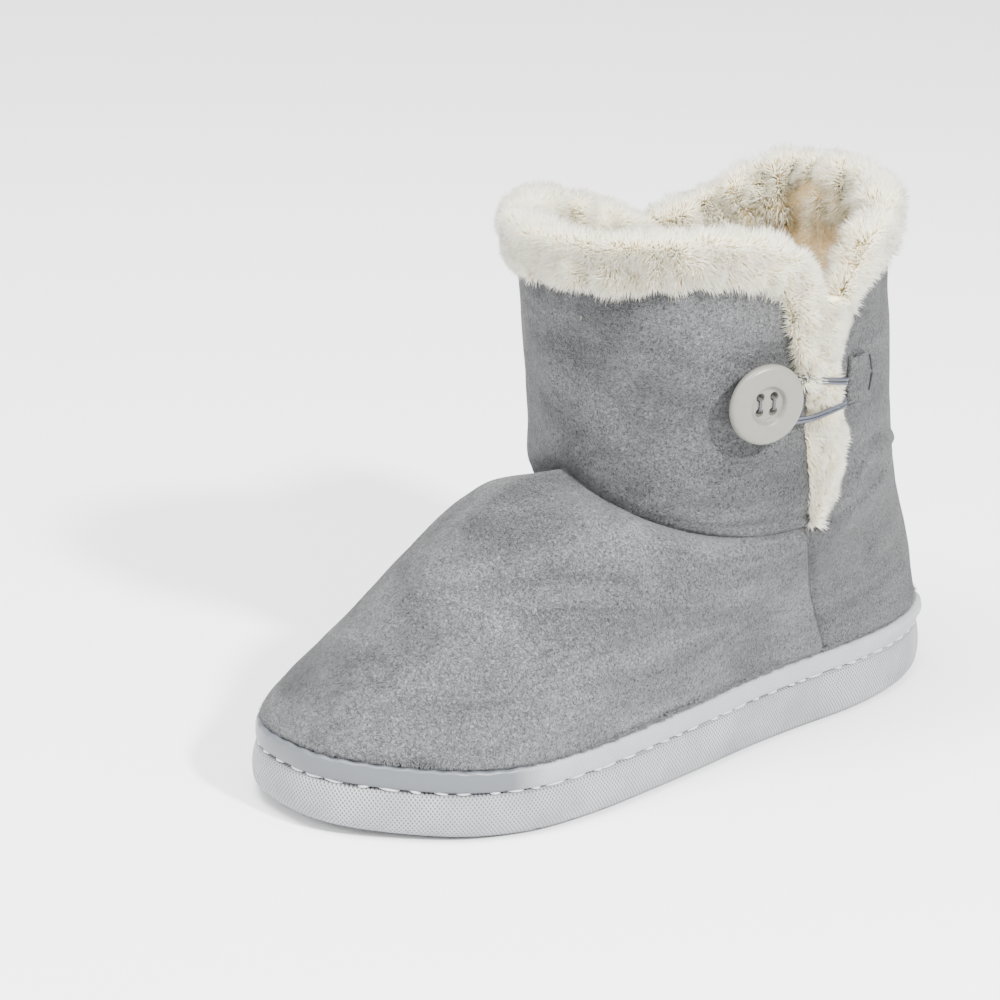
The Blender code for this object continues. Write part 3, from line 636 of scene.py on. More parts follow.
@dataclass(frozen=True)
class Suede:
    """Grey brushed cloth with a short curled nap.

    The heel panel's seam is a sloping line through seam_place (y, z), and brushed lists areas as a centre, a
    reach and a tone: areas of painted light and shade, partly brushed nap.
    """

    name: str = "grey suede"
    dark: Colour = (0.034, 0.035, 0.037, 1)
    light: Colour = (0.108, 0.110, 0.1135, 1)
    # Below 1, shade darkens the whole cloth as painted shade, on the shaft and on the tab.
    shade: float = 1.0
    panel: float | None = None
    seam_place: tuple[float, float] = (0.0378, 0.0724)
    seam_slope: float = 0.51
    seam_blend: float = 0.0006
    seam_shade_line: tuple[float, float] = (0.0002, 0.0008)
    # Areas of painted light and shade, partly brushed nap: each a centre, a reach and a tone.
    brushed: tuple[tuple[float, float, float, float, float], ...] = ()
    ragged: float = 0.045
    depth: float = 0.0005

    def areas(self, nodes: Nodes, place: Socket) -> Socket:
        """Tone of the areas brushed lighter or darker by hand, each with a soft uneven edge.

        Args:
            nodes: the material's nodes.
            Tone of the areas of painted light and shade, partly brushed nap, each with a soft uneven edge.

        Returns:
            A factor for the cloth's colour.
        """
        vectors = "ShaderNodeVectorMath"
        warp = nodes.add("ShaderNodeTexNoise", {"Vector": place, "Scale": 55.0, "Detail": 3.0})
        push = nodes.add(vectors, {0: warp.outputs["Color"], 1: (0.5, 0.5, 0.5)}, operation="SUBTRACT")
        push = nodes.add(vectors, {0: push.outputs[0], "Scale": self.ragged}, operation="SCALE")
        moved = nodes.add(vectors, {0: place, 1: push.outputs[0]}, operation="ADD").outputs[0]
        total = None
        for x, y, z, reach, tone in self.brushed:
            centre = tuple(float(v) for v in np.array([x, y, z]) + SHIFT)
            apart = nodes.add(vectors, {0: moved, 1: centre}, operation="DISTANCE")
            here = nodes.stretch(apart.outputs["Value"], 0.25 * reach, reach, tone, 1.0)
            total = here if total is None else nodes.math("MULTIPLY", total, here)
        return total

    def seam(self, nodes: Nodes, place: Socket) -> Socket:
        """Tone beside the heel panel's seam: a dark line, painted shade in the groove, then the panel's tone.

        Args:
            nodes: the material's nodes.
            place: the place in the shoe's frame.

        Returns:
            A factor for the cloth's colour.
        """
        split = nodes.add("ShaderNodeSeparateXYZ", {0: place})
        y, top = self.seam_place
        wobble = nodes.math("MULTIPLY", nodes.math("SUBTRACT", nodes.noise(place, 220.0), 0.5), 0.0012)
        line = nodes.math("MULTIPLY", split.outputs[2], self.seam_slope)
        ahead = nodes.math("ADD", nodes.math("ADD", split.outputs[1], line), wobble)
        ahead = nodes.math("SUBTRACT", ahead, y + float(SHIFT[1]) + top * self.seam_slope)
        tone = nodes.stretch(ahead, -self.seam_blend, self.seam_blend, 1.0, self.panel)
        # Painted shade: the cloth is darker along the seam's groove.
        dark = nodes.stretch(nodes.math("ABSOLUTE", ahead), *self.seam_shade_line, 0.45, 1.0)
        return nodes.math("MULTIPLY", tone, dark)

    def make(self, nap: bpy.types.NodeTree) -> Material:
        """Builds the material.

        Args:
            nap: the shared nap group.

        Returns:
            The material.
        """
        made, nodes, shader = plain_material(self.name, 0.92)
        place = nodes.add("ShaderNodeTexCoord").outputs["Object"]
        group = nodes.add("ShaderNodeGroup", node_tree=nap)
        nodes.give(group, {"Place": place})
        dark, light = scaled(self.dark, self.shade), scaled(self.light, self.shade)
        base = nodes.mix(group.outputs["Patches"], dark, light)
        grain = nodes.stretch(group.outputs["Grain"], 0.0, 1.0, 0.36, 1.82)
        if self.panel is not None:
            grain = nodes.math("MULTIPLY", grain, self.seam(nodes, place))
        # Painted light and shade, partly brushed nap: lighter where the cloth faces the lamps, darker where
        # it is turned away.
        if self.brushed:
            grain = nodes.math("MULTIPLY", grain, self.areas(nodes, place))
        nodes.give(shader, {
            "Base Color": nodes.shade(base, grain),
            "Normal": nodes.bump(group.outputs["Height"], self.depth, 1.0),
            "Roughness": nodes.stretch(group.outputs["Patches"], 0, 1, 0.97, 0.84),
            "Sheen Weight": 0.14,
            "Sheen Roughness": 0.45,
            "Specular IOR Level": 0.15,
        })
        return made


@dataclass(frozen=True)
class Fleece:
    """Cream pile, darker and warmer at its roots, painted shade deep in the pile: single fibres with tints of
    their own, or the cloth under them.
    """

    name: str = "cream fleece"
    root: Colour = (0.89, 0.69, 0.38, 1)
    tip: Colour = (0.99, 0.90, 0.575, 1)
    glow: float = 0.7
    hairs: bool = True

    def make(self) -> Material:
        """Builds the material: from root to tip by the fibres' own tint, or by noise where there are none.

        Returns:
            The material.
        """
        made, nodes, shader = plain_material(self.name, 0.95)
        place = nodes.add("ShaderNodeTexCoord").outputs["Object"]
        if self.hairs:
            height = nodes.add("ShaderNodeAttribute", attribute_name="tip").outputs["Fac"]
            lock = nodes.add("ShaderNodeAttribute", attribute_name="lock").outputs["Fac"]
            share = nodes.stretch(height, 0.0, 0.65)
        else:
            lock = nodes.noise(place, 500.0, 2.0)
            share = nodes.stretch(nodes.noise(place, 420.0, 3.0, 0.6), 0.35, 0.7, 0.1, 0.75)
        warm = nodes.stretch(nodes.noise(place, 70.0, 2.0), 0.35, 0.7, 0.0, 0.22)
        # Painted shade: the darker, warmer root colour stands for the shade deep in the pile.
        base = nodes.mix(share, self.root, self.tip)
        base = nodes.mix(warm, base, scaled(self.root, 1.25))
        value = nodes.stretch(lock, 0.0, 1.0, 0.88, 1.06)
        fine = nodes.noise(place, 2600.0 if self.hairs else 1100.0, 2.0)
        nodes.give(shader, {
            "Base Color": nodes.shade(base, value),
            "Normal": nodes.bump(fine, 0.0002 if self.hairs else 0.0012, 0.8),
            "Subsurface Weight": self.glow,
            "Subsurface Radius": (1.0, 0.8, 0.55),
            "Subsurface Scale": 0.004,
            "Specular IOR Level": 0.1,
        })
        return made


@dataclass(frozen=True)
class WovenRubber:
    """Light grey rubber with a woven imprint that fades where the band is smooth."""

    name: str
    colour: Colour
    # hollow_shade is painted shade in the weave's hollows.
    hollow_shade: Colour
    turns: float = 4700.0
    depth: float = 0.00045
    smooth_toe: float | None = None
    fade: float = 0.006
    smooth_colour: Colour = (0.086, 0.093, 0.103, 1)

    def make(self, weave: bpy.types.NodeTree) -> Material:
        """Builds the material.

        Args:
            weave: the shared weave group.

        Returns:
            The material.
        """
        made, nodes, shader = plain_material(self.name, 0.6)
        cloth = nodes.add("ShaderNodeUVMap", uv_map="cloth").outputs[0]
        place = nodes.add("ShaderNodeTexCoord").outputs["Object"]
        group = nodes.add("ShaderNodeGroup", node_tree=weave)
        nodes.give(group, {"Place": cloth, "Turns": self.turns})
        height = group.outputs["Height"]
        worn = nodes.stretch(nodes.noise(place, 45.0, 3.0), 0.35, 0.65, 0.35, 1.0)
        height = nodes.math("MULTIPLY", height, worn)
        # Painted shade: the weave's hollows take the darker colour, its ridges the lighter.
        base = nodes.mix(height, self.hollow_shade, self.colour)
        cloud = nodes.stretch(nodes.noise(place, 60.0, 3.0), 0.3, 0.7, 0.93, 1.05)
        base = nodes.shade(base, cloud)
        roughness = nodes.stretch(height, 0, 1, 0.72, 0.5)
        if self.smooth_toe is not None:
            ahead = nodes.add("ShaderNodeSeparateXYZ", {0: place}).outputs[1]
            wavy = nodes.math("ADD", ahead, nodes.math("MULTIPLY", nodes.noise(place, 80.0), 0.006))
            toe = nodes.stretch(wavy, self.smooth_toe - self.fade, self.smooth_toe + self.fade, 1.0, 0.0)
            base = nodes.mix(toe, base, self.smooth_colour)
            height = nodes.math("MULTIPLY", height, nodes.math("SUBTRACT", 1.0, toe))
            roughness = nodes.stretch(toe, 0, 1, 0.6, 0.38)
        nodes.give(shader, {
            "Base Color": base,
            "Roughness": roughness,
            "Normal": nodes.bump(height, self.depth, 0.8),
            "Specular IOR Level": 0.4,
        })
        return made


@dataclass(frozen=True)
class Plain:
    """A finish with one colour, a fine mottle and a fine bump."""

    name: str
    colour: Colour
    roughness: float = 0.5
    grain: float = 900.0
    depth: float = 0.00008
    spread: float = 0.06
    ribs: float = 0.0

    def make(self) -> Material:
        """Builds the material; ribs is the number of slanting ribs a metre on cords and threads.

        Returns:
            The material.
        """
        made, nodes, shader = plain_material(self.name, self.roughness)
        place = nodes.add("ShaderNodeTexCoord").outputs["Object"]
        mottle = nodes.noise(place, self.grain, 3.0)
        height = mottle
        if self.ribs:
            cloth = nodes.add("ShaderNodeUVMap", uv_map="cloth").outputs[0]
            split = nodes.add("ShaderNodeSeparateXYZ", {0: cloth})
            slant = nodes.weighted(split.outputs[1], self.ribs, split.outputs[0], self.ribs * 0.7)
            height = nodes.stretch(nodes.math("SINE", slant), -1, 1)
        # On ribbed cords the colour is lighter on the ribs' crests and darker in their hollows, painted light
        # and shade; without ribs it is a random mottle.
        share = nodes.stretch(height, 0.0 if self.ribs else 0.3, 1.0 if self.ribs else 0.7)
        base = nodes.mix(share, scaled(self.colour, 1 - self.spread), scaled(self.colour, 1 + self.spread))
        smooth, rough = self.roughness * 0.88, min(1, self.roughness * 1.1)
        varied = nodes.stretch(nodes.noise(place, 120.0), 0.3, 0.7, smooth, rough)
        normal = nodes.bump(height, self.depth, 0.7)
        nodes.give(shader, {"Base Color": base, "Normal": normal, "Roughness": varied})
        return made


def scaled(colour: Colour, by: float) -> Colour:
    """A colour made lighter or darker."""
    return (min(1.0, colour[0] * by), min(1.0, colour[1] * by), min(1.0, colour[2] * by), 1.0)


def plain_material(name: str, roughness: float) -> tuple[Material, Nodes, bpy.types.Node]:
    """A new material with a Principled shader.

    Args:
        name: its name.
        roughness: the shader's roughness.

    Returns:
        The material, its nodes and the shader.
    """
    made = bpy.data.materials.new(name)
    made.use_nodes = True
    shader = made.node_tree.nodes["Principled BSDF"]
    shader.inputs["Roughness"].default_value = roughness
    return made, Nodes(made.node_tree), shader


# The shoe


@dataclass
class Last:
    """The plan and the levels that every piece of the shoe follows."""

    length: float = 0.264
    ball_width: float = 0.102
    heel_roundness: float = 2.6
    toe_roundness: float = 2.75
    toe_swing: float = 0.0045
    toe_spring: float = 0.0030
    arch_lift: float = 0.0028
    sole_heel: float = 0.0175
    sole_waist: float = 0.0165
    sole_forefoot: float = 0.0150
    band_height: float = 0.0072
    band_thickness: float = 0.0032
    gap: float = 0.0003
    along: Table = (0.00, 0.10, 0.20, 0.30, 0.40, 0.50, 0.60, 0.70, 0.80, 0.88, 0.94, 1.00)
    outer: Table = (0.76, 0.80, 0.80, 0.78, 0.81, 0.89, 0.97, 1.07, 1.15, 1.13, 1.02, 0.90)
    inner: Table = (0.76, 0.80, 0.77, 0.70, 0.66, 0.69, 0.80, 0.92, 0.99, 1.00, 0.95, 0.88)

    def sides(self, along: Array) -> tuple[Array, Array]:
        """The two sides of the sole's plan: half widths from a superellipse times the table's shares.

        Args:
            along: shares of the way from the heel to the toe.

        Returns:
            The outer side's and the inner side's points.
        """
        power = np.where(along < 0.5, self.heel_roundness, self.toe_roundness)
        half = self.ball_width / 2 * (1 - np.abs(2 * along - 1) ** power).clip(0) ** (1 / power)
        swing = -self.toe_swing * ramp((along - 0.55) / 0.45)
        y = self.length / 2 - self.length * along
        outer = np.stack([swing + half * through(self.along, self.outer, along), y], axis=1)
        inner = np.stack([swing - half * through(self.along, self.inner, along), y], axis=1)
        return outer, inner

    def plan(self, side_points: int, inset: float = 0.0) -> Array:
        """The sole's plan as a ring of equal steps: heel, outer side, toe, inner side.

        Args:
            side_points: points along each side.
            inset: how far the ring is drawn in.

        Returns:
            (2 * side_points - 2, 2) points.
        """
        outer, inner = self.sides((1 - np.cos(np.linspace(0, math.pi, 1200))) / 2)
        ring = np.concatenate([spaced(outer, side_points), spaced(inner, side_points)[-2:0:-1]])
        return ring + inset * inward(ring)

    def spring(self, y: Array) -> Array:
        """How far the toe is lifted from the floor."""
        return self.toe_spring * np.clip((0.5 - y / self.length - 0.76) / 0.24, 0, 1) ** 2

    def bottom(self, plan: Array) -> Array:
        """Height of the sole's underside: the toe's spring plus a lift under the inner side's arch.

        Args:
            plan: (..., 2) points.

        Returns:
            One height for each point.
        """
        along = 0.5 - plan[..., 1] / self.length
        arch = ramp((along - 0.28) / 0.14) * ramp((0.58 - along) / 0.14)
        return self.spring(plan[..., 1]) + self.arch_lift * arch * ramp(-plan[..., 0] / self.ball_width * 3)

    def top(self, y: Array) -> Array:
        """Height of the sole's top face."""
        thickness = (self.sole_heel, self.sole_heel, self.sole_waist, self.sole_forefoot, self.sole_forefoot)
        return through((0.0, 0.25, 0.5, 0.75, 1.0), thickness, 0.5 - y / self.length) + self.spring(y)


@dataclass
class Sole:
    """The moulded sole: woven side wall, rounded foot, tread bars."""

    last: Last
    edge_round: float = 0.0032
    bulge: float = 0.0010
    groove_width: float = 0.0024
    groove_depth: float = 0.0016
    groove_pitch: float = 0.0130
    groove_starts: tuple[tuple[float, int], ...] = ((0.140, 6), (0.018, 4))
    top_round: float = 0.0019
    lip_start: float = 0.90
    groove_edge: float = 0.0003
    beside_groove: float = 0.0013
    up: Table = (0.0, 0.06, 0.16, 0.34, 0.60, 0.84, 1.0)
    drawn_in: Table = (1.0, 0.42, 0.08, 0.0, 0.0, 0.0, 0.10)
    swell: Table = (0.0, 0.0, 0.35, 0.90, 1.0, 0.40, 0.0)
    side_rows: int = 26
    side_points: int = 300
    across: int = 12

    def grooves(self) -> Array:
        """The y of each groove's front and back edge.

        Returns:
            (grooves, 2) places.
        """
        starts = [start + i * self.groove_pitch for start, count in self.groove_starts for i in range(count)]
        back = self.last.length / 2 - np.array(starts)
        return np.stack([back - self.groove_width, back], axis=1)

    def cut(self, points: Array) -> Array:
        """Lifts points that lie in a groove below its roof: z becomes the larger of z and the roof.

        Args:
            points: (..., 3) points of the sole.

        Returns:
            The points with the grooves cut.
        """
        made = points.copy()
        for front, back in self.grooves():
            roof = self.groove_depth + self.last.spring(np.array(back))
            y = points[..., 1]
            inside = ramp((y - front) / self.groove_edge) * ramp((back - y) / self.groove_edge)
            made[..., 2] = np.maximum(made[..., 2], roof * inside + made[..., 2] * (1 - inside))
        return made

    def build(self, finish: Material) -> None:
        """Builds the sole: rings up its side, a grid under it and another over it.

        Args:
            finish: its material.
        """
        last = self.last
        edges = 0.5 - self.grooves().ravel() / last.length
        fine = np.concatenate([edges, edges + self.beside_groove, edges - self.beside_groove])
        dense = (1 - np.cos(np.linspace(0, math.pi, self.side_points))) / 2
        along = np.sort(np.concatenate([dense, fine]))
        outer, inner = last.sides(along)
        ring = np.concatenate([outer, inner[-2:0:-1]])
        normal = inward(ring)
        rows, cloth = [], []
        reach = reach_along(ring)
        levels = np.concatenate([np.linspace(0, 0.2, 10)[:-1], np.linspace(0.2, 1.0, self.side_rows - 9)])
        for t in levels:
            bulge = self.bulge * through(self.up, self.swell, t)
            inset = self.edge_round * through(self.up, self.drawn_in, t) - bulge
            lip = max(0.0, (t - self.lip_start) / (1 - self.lip_start))
            inset += self.top_round * (1 - math.sqrt(max(0.0, 1 - lip * lip)))
            plan = ring + inset * normal
            low, high = last.bottom(plan), last.top(plan[:, 1])
            rows.append(np.column_stack([plan, low + (high - low) * t]))
            cloth.append(np.column_stack([reach, rows[-1][:, 2]]))
        side = self.cut(np.array(rows))
        columns, half = len(ring), len(along) - 1
        lids = [self.lid(side[0], half, columns), self.lid(side[-1], half, columns)]
        points = [side.reshape(-1, 3)]
        quads = [grid_quads(len(rows), columns, True)]
        tris, places, first = [], [np.concatenate(cloth)], len(points[0])
        for row, (inside, cells, ends) in zip((0, len(rows) - 1), lids):
            inside[:, 2] = (self.cut(inside) if row == 0 else inside)[:, 2]
            shift = np.where(np.arange(columns + len(inside)) < columns, row * columns, first - columns)
            shift = shift + np.arange(columns + len(inside))
            quads.append(shift[cells])
            tris.append(shift[ends])
            points.append(inside)
            places.append(inside[:, :2])
            first += len(inside)
        body = Body(*(np.concatenate(each) for each in (points, quads, tris, places)))
        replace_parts(body.make("sole", finish, Slot.OUTSOLE), "outsole")

    def lid(self, ring: Array, half: int, columns: int) -> tuple[Array, Array, Array]:
        """A grid that closes a ring, from each point of its outer side straight to the inner side.

        Args:
            ring: the ring's points.
            half: the number of the toe's point.
            columns: the ring's length.

        Returns:
            The points between the sides, the quads, and the triangles at heel and toe. Numbers below
            columns are the ring's own points.
        """
        k = np.arange(1, half)
        left, right = ring[k], ring[columns - k]
        t = np.linspace(0, 1, self.across + 1)[1:-1]
        inside = left[:, None] * (1 - t[None, :, None]) + right[:, None] * t[None, :, None]
        plan = inside[..., :2]
        is_low = ring[:, 2].mean() < 0.01
        inside[..., 2] = self.last.bottom(plan) if is_low else self.last.top(plan[..., 1])
        number = columns + np.arange(len(k) * len(t)).reshape(len(k), len(t))
        number = np.concatenate([k[:, None], number, (columns - k)[:, None]], axis=1)
        cells = np.stack([number[:-1, :-1], number[1:, :-1], number[1:, 1:], number[:-1, 1:]], axis=-1)
        heel = np.stack([np.zeros(self.across, int), number[0, :-1], number[0, 1:]], axis=1)
        toe = np.stack([np.full(self.across, half), number[-1, 1:], number[-1, :-1]], axis=1)
        return inside.reshape(-1, 3), cells.reshape(-1, 4), np.concatenate([heel, toe])


@dataclass
class Band:
    """The trim band round the base of the upper, and the long stitches in the groove under it."""

    last: Last
    round: float = 0.0014
    heel_lip: float = 0.0013
    lip_width: float = 0.0022
    wave: float = 0.00018
    wave_turns: float = 900.0
    side_points: int = 320
    stitch_pitch: float = 0.0078
    stitch_length: float = 0.0060
    stitch_radius: float = 0.00050
    stitch_inset: float = 0.0012

    def build(self, finish: Material) -> None:
        """Builds the band: a rounded section carried round the plan, with a lip at the heel's top edge.

        Args:
            finish: its material.
        """
        last = self.last
        angle = np.linspace(0, math.pi / 2, 6)
        turned = [(self.round * (1 - math.cos(a)), self.round * (1 - math.sin(a))) for a in angle]
        low = [(inset, up) for up, inset in turned]
        high = [(inset, last.band_height - up) for inset, up in turned]
        middle = [(-0.0002, last.band_height * share) for share in (0.3, 0.42, 0.54, 0.66)]
        section = [(last.band_thickness, 0.0), *low, *middle, *high, (last.band_thickness, last.band_height)]
        ring = last.plan(self.side_points)
        reach = reach_along(ring)
        heel = ramp((ring[:, 1] - 0.062) / 0.05)
        rows = []
        for inset, up in section:
            lip = self.heel_lip * heel * math.exp(-(((up - 0.72 * last.band_height) / self.lip_width) ** 2))
            lip = lip * (inset < 0.5 * last.band_thickness)
            plan = ring + (inset - lip)[:, None] * inward(ring)
            wave = self.wave * np.sin(reach * self.wave_turns) * (up > 0.5 * last.band_height)
            rows.append(np.column_stack([plan, last.top(plan[:, 1]) + last.gap + up + wave]))
        grid = np.array(rows)
        count = len(section)
        quads = np.concatenate([grid_quads(count, len(ring), True), self.closing(count, len(ring))])
        cloth = np.stack(np.broadcast_arrays(reach[None], grid[..., 2]), axis=-1).reshape(-1, 2)
        made = Body(grid.reshape(-1, 3), quads, cloth=cloth).make("welt_trim", finish, Slot.BAND)
        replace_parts(made, "welt_band")

    @staticmethod
    def closing(rows: int, columns: int) -> Array:
        """Quads that join the last row of a ring-shaped section to its first.

        Args:
            rows: how many rows.
            columns: points in each.

        Returns:
            (quads, 4) point numbers.
        """
        j = np.arange(columns)
        beside = (j + 1) % columns
        return np.stack([(rows - 1) * columns + j, (rows - 1) * columns + beside, beside, j], axis=1)

    def stitches(self, finish: Material) -> None:
        """Lays a long stitch at each step of the groove, each a little off its line.

        Args:
            finish: the thread's material.
        """
        last, draws = self.last, np.random.default_rng(11)
        ring = last.plan(self.side_points, self.stitch_inset)
        total = np.linalg.norm(np.diff(np.append(ring, ring[:1], axis=0), axis=0), axis=1).sum()
        count = int(total / self.stitch_pitch)
        made = []
        for k in range(count):
            length = self.stitch_length * draws.uniform(0.45, 1.18)
            start = (k + draws.uniform(-0.16, 0.16)) / count
            share = start + np.linspace(0, length, 7) / total
            plan = on_ring(ring, share)
            hump = np.sin(np.linspace(0, math.pi, 7))
            out = -on_ring(inward(ring), share)
            tilt = draws.uniform(-0.0004, 0.0004) * np.linspace(-1, 1, 7)
            z = last.top(plan[:, 1]) + last.gap / 2 + tilt + 0.0001
            line = np.column_stack([plan + out * (0.0007 * hump - 0.0002)[:, None], z])
            made.append(tube(line, self.stitch_radius * draws.uniform(0.8, 1.1), 7, UPWARDS))
        joined(made).make("welt_stitches", finish, Slot.BAND)


@dataclass
class Shaft:
    """The tube of cloth from the ankle seam to the collar, slit on its outer side."""

    ankle_back: float = 0.1040
    ankle_front: float = -0.0205
    ankle_width: float = 0.0930
    ankle_height_front: float = 0.0935
    ankle_height_side: float = 0.0765
    ankle_height_back: float = 0.0990
    collar_back: float = 0.0915
    collar_front: float = -0.0345
    collar_width: float = 0.0980
    collar_height: float = 0.1800
    puff: float = 0.0026
    slit_height: float = 0.0760
    slit_centre: float = 0.0420
    slit_width: float = 0.0170
    roll_front: float = 0.0034
    roll_side: float = 0.0015
    front_fold: float = 0.0032
    fold_height: float = 0.006
    fold_width: float = 0.007
    front_droop: float = 0.0022
    front_width: float = 0.16
    ovalness: float = 2.25
    topstitch_height: float = 0.0042
    topstitch_depth: float = 0.0006
    topstitch_width: float = 0.0009
    panel_start: float = 0.0380
    panel_blend: float = 0.004
    side_points: int = 360
    wall: float = 0.0011
    columns: int = 384
    rows: int = 121
    rise: Table = (1.0, 0.80, 0.20, 0.0, 0.04, 0.42, 1.0)
    rise_along: Table = (0.0, 0.15, 0.35, 0.50, 0.68, 0.85, 1.0)
    edge_along: Table = (0.00, 0.10, 0.20, 0.35, 0.50, 0.58, 0.66, 0.73, 0.79, 0.86, 0.93, 1.00)
    edge: Table = (
        0.98, 0.965, 0.93, 0.960, 0.935, 0.932, 0.930, 0.885, 0.845, 0.885, 0.955, 0.98,
    )
    front_along: Table = (0.0, 0.30, 0.55, 0.68, 0.79, 0.87, 0.93, 0.965)
    front_place: Table = (-0.12, -0.50, -0.62, -0.68, -0.85, -1.30, -2.20, -3.20)
    back_along: Table = (0.0, 0.05, 0.12, 0.20, 0.33, 0.42, 0.55, 0.68, 0.80, 0.87, 0.92)
    back_place: Table = (0.02, 0.15, 0.36, 0.54, 0.46, 0.34, 0.16, 0.14, 0.64, 1.15, 1.95)

    def __post_init__(self) -> None:
        """Works out the rings at the ankle and the collar."""
        self.ankle = self.egg(self.ankle_back, self.ankle_front, self.ankle_width)
        self.collar = self.egg(self.collar_back, self.collar_front, self.collar_width)
        self.collar_out = -inward(self.collar)
        share = np.linspace(0, 1, self.side_points)
        share = np.concatenate([share, share[-2:0:-1]])
        high = np.where(share < 0.5, self.ankle_height_back, self.ankle_height_front)
        rise = through(self.rise_along, self.rise, share)
        self.seam = self.ankle_height_side + (high - self.ankle_height_side) * rise
        self.girth = float(np.linalg.norm(np.diff(self.collar, axis=0), axis=1).sum())

    def egg(self, back: float, front: float, width: float) -> Array:
        """An oval ring, fuller than an ellipse: |x|^p + |y|^p = 1, where p is the ovalness.

        Args:
            back: the y of its back end.
            front: the y of its front end.
            width: its width.

        Returns:
            (points, 2) of the ring, from the back over the outer side.
        """
        along = (1 - np.cos(np.linspace(0, math.pi, 1200))) / 2
        half = width / 2 * (1 - np.abs(2 * along - 1) ** self.ovalness).clip(0) ** (1 / self.ovalness)
        y = back + (front - back) * along
        outer = spaced(np.stack([half, y], axis=1), self.side_points)
        inner = spaced(np.stack([-half, y], axis=1), self.side_points)
        return np.concatenate([outer, inner[-2:0:-1]])

    def front(self, share: Array) -> Array:
        """How near a place is to the middle of the front: 1 there, nearly 0 at the sides."""
        return np.exp(-((((share % 1.0) - 0.5) / self.front_width) ** 2))

    def panel(self, share: Array) -> Array:
        """1 where the heel panel runs on over the ankle without a seam, 0 in front of the side seams."""
        return ramp((on_ring(self.ankle, share)[..., 1] - self.panel_start) / self.panel_blend)

    def edge_height(self, share: Array) -> Array:
        """Height of the cloth's top edge at shares of the way round."""
        return self.collar_height * through(self.edge_along, self.edge, np.asarray(share) % 1.0)

    def at(self, share: Array, z: Array) -> Array:
        """Points of the outer face: a straight blend of the two rings, plus a puff over the seam.

        Args:
            share: shares of the way round, from the heel over the outer side.
            z: heights.

        Returns:
            (..., 3) points.
        """
        share, z = np.broadcast_arrays(np.asarray(share, float), np.asarray(z, float))
        seam = on_ring(self.seam, share)
        t = ((z - seam) / (self.collar_height - seam))[..., None]
        ahead = (self.ankle_back - on_ring(self.ankle, share)[..., 1:]) / (self.ankle_back - self.ankle_front)
        puff = self.puff * ramp(t / 0.16) * (1 - 0.6 * t) * (0.15 + 0.85 * ramp(ahead * 1.25))
        plan = on_ring(self.ankle, share) * (1 - t) + on_ring(self.collar, share) * t
        return np.concatenate([plan + on_ring(self.collar_out, share) * puff, z[..., None]], axis=-1)

    def normal(self, share: Array, z: Array) -> Array:
        """Outward directions of the outer face: the cross product of its two directions.

        Args:
            share: shares of the way round.
            z: heights.

        Returns:
            (..., 3) unit vectors.
        """
        across = self.at(share + 0.008, z) - self.at(share - 0.008, z)
        upward = self.at(share, z + 0.002) - self.at(share, z - 0.002)
        return unit(np.cross(upward, across))

    def over(self, share: Array, z: Array, lift: Array | float) -> Array:
        """Points that stand lift above the outer face."""
        return self.at(share, z) + self.normal(share, z) * np.asarray(lift)[..., None]

    def share_of(self, y: Array, z: Array) -> Array:
        """The share of the way round on the outer side that has this y at this height, by halving.

        Args:
            y: places from toe to heel.
            z: heights.

        Returns:
            The shares.
        """
        y, z = np.atleast_1d(np.asarray(y, float)), np.atleast_1d(np.asarray(z, float))
        low, high = np.full(y.shape, 0.035), np.full(y.shape, 0.465)
        for _ in range(24):
            middle = (low + high) / 2
            behind = self.at(middle, z)[..., 1] > y
            low, high = np.where(behind, middle, low), np.where(behind, high, middle)
        return (low + high) / 2

    def slit(self, front: bool, z: Array) -> Array:
        """The y of one edge of the slit at heights.

        Args:
            front: whether it is the front edge.
            z: the heights.

        Returns:
            One y for each height.
        """
        along = (z - self.slit_height) / (self.collar_height - self.slit_height)
        knots, places = (self.front_along, self.front_place) if front else (self.back_along, self.back_place)
        return self.slit_centre + self.slit_width * through(knots, places, along)

    def cloth_top(self, share: Array, low: float = 0.1380) -> Array:
        """Height of the top edge where the slit's opening is cut out of it too.

        Args:
            share: shares of the way round.
            low: the lowest height that is cut.

        Returns:
            One height for each share.
        """
        z = np.linspace(low, self.collar_height, 160)[:, None]
        y = self.at(share[None], z)[..., 1]
        outside = (share % 1.0 < 0.45) & (share % 1.0 > 0.04)
        is_open = (y > self.slit(True, z)) & (y < self.slit(False, z)) & outside
        first = np.where(is_open.any(axis=0), z[is_open.argmax(axis=0), 0], self.collar_height)
        return np.minimum(first, self.edge_height(share))

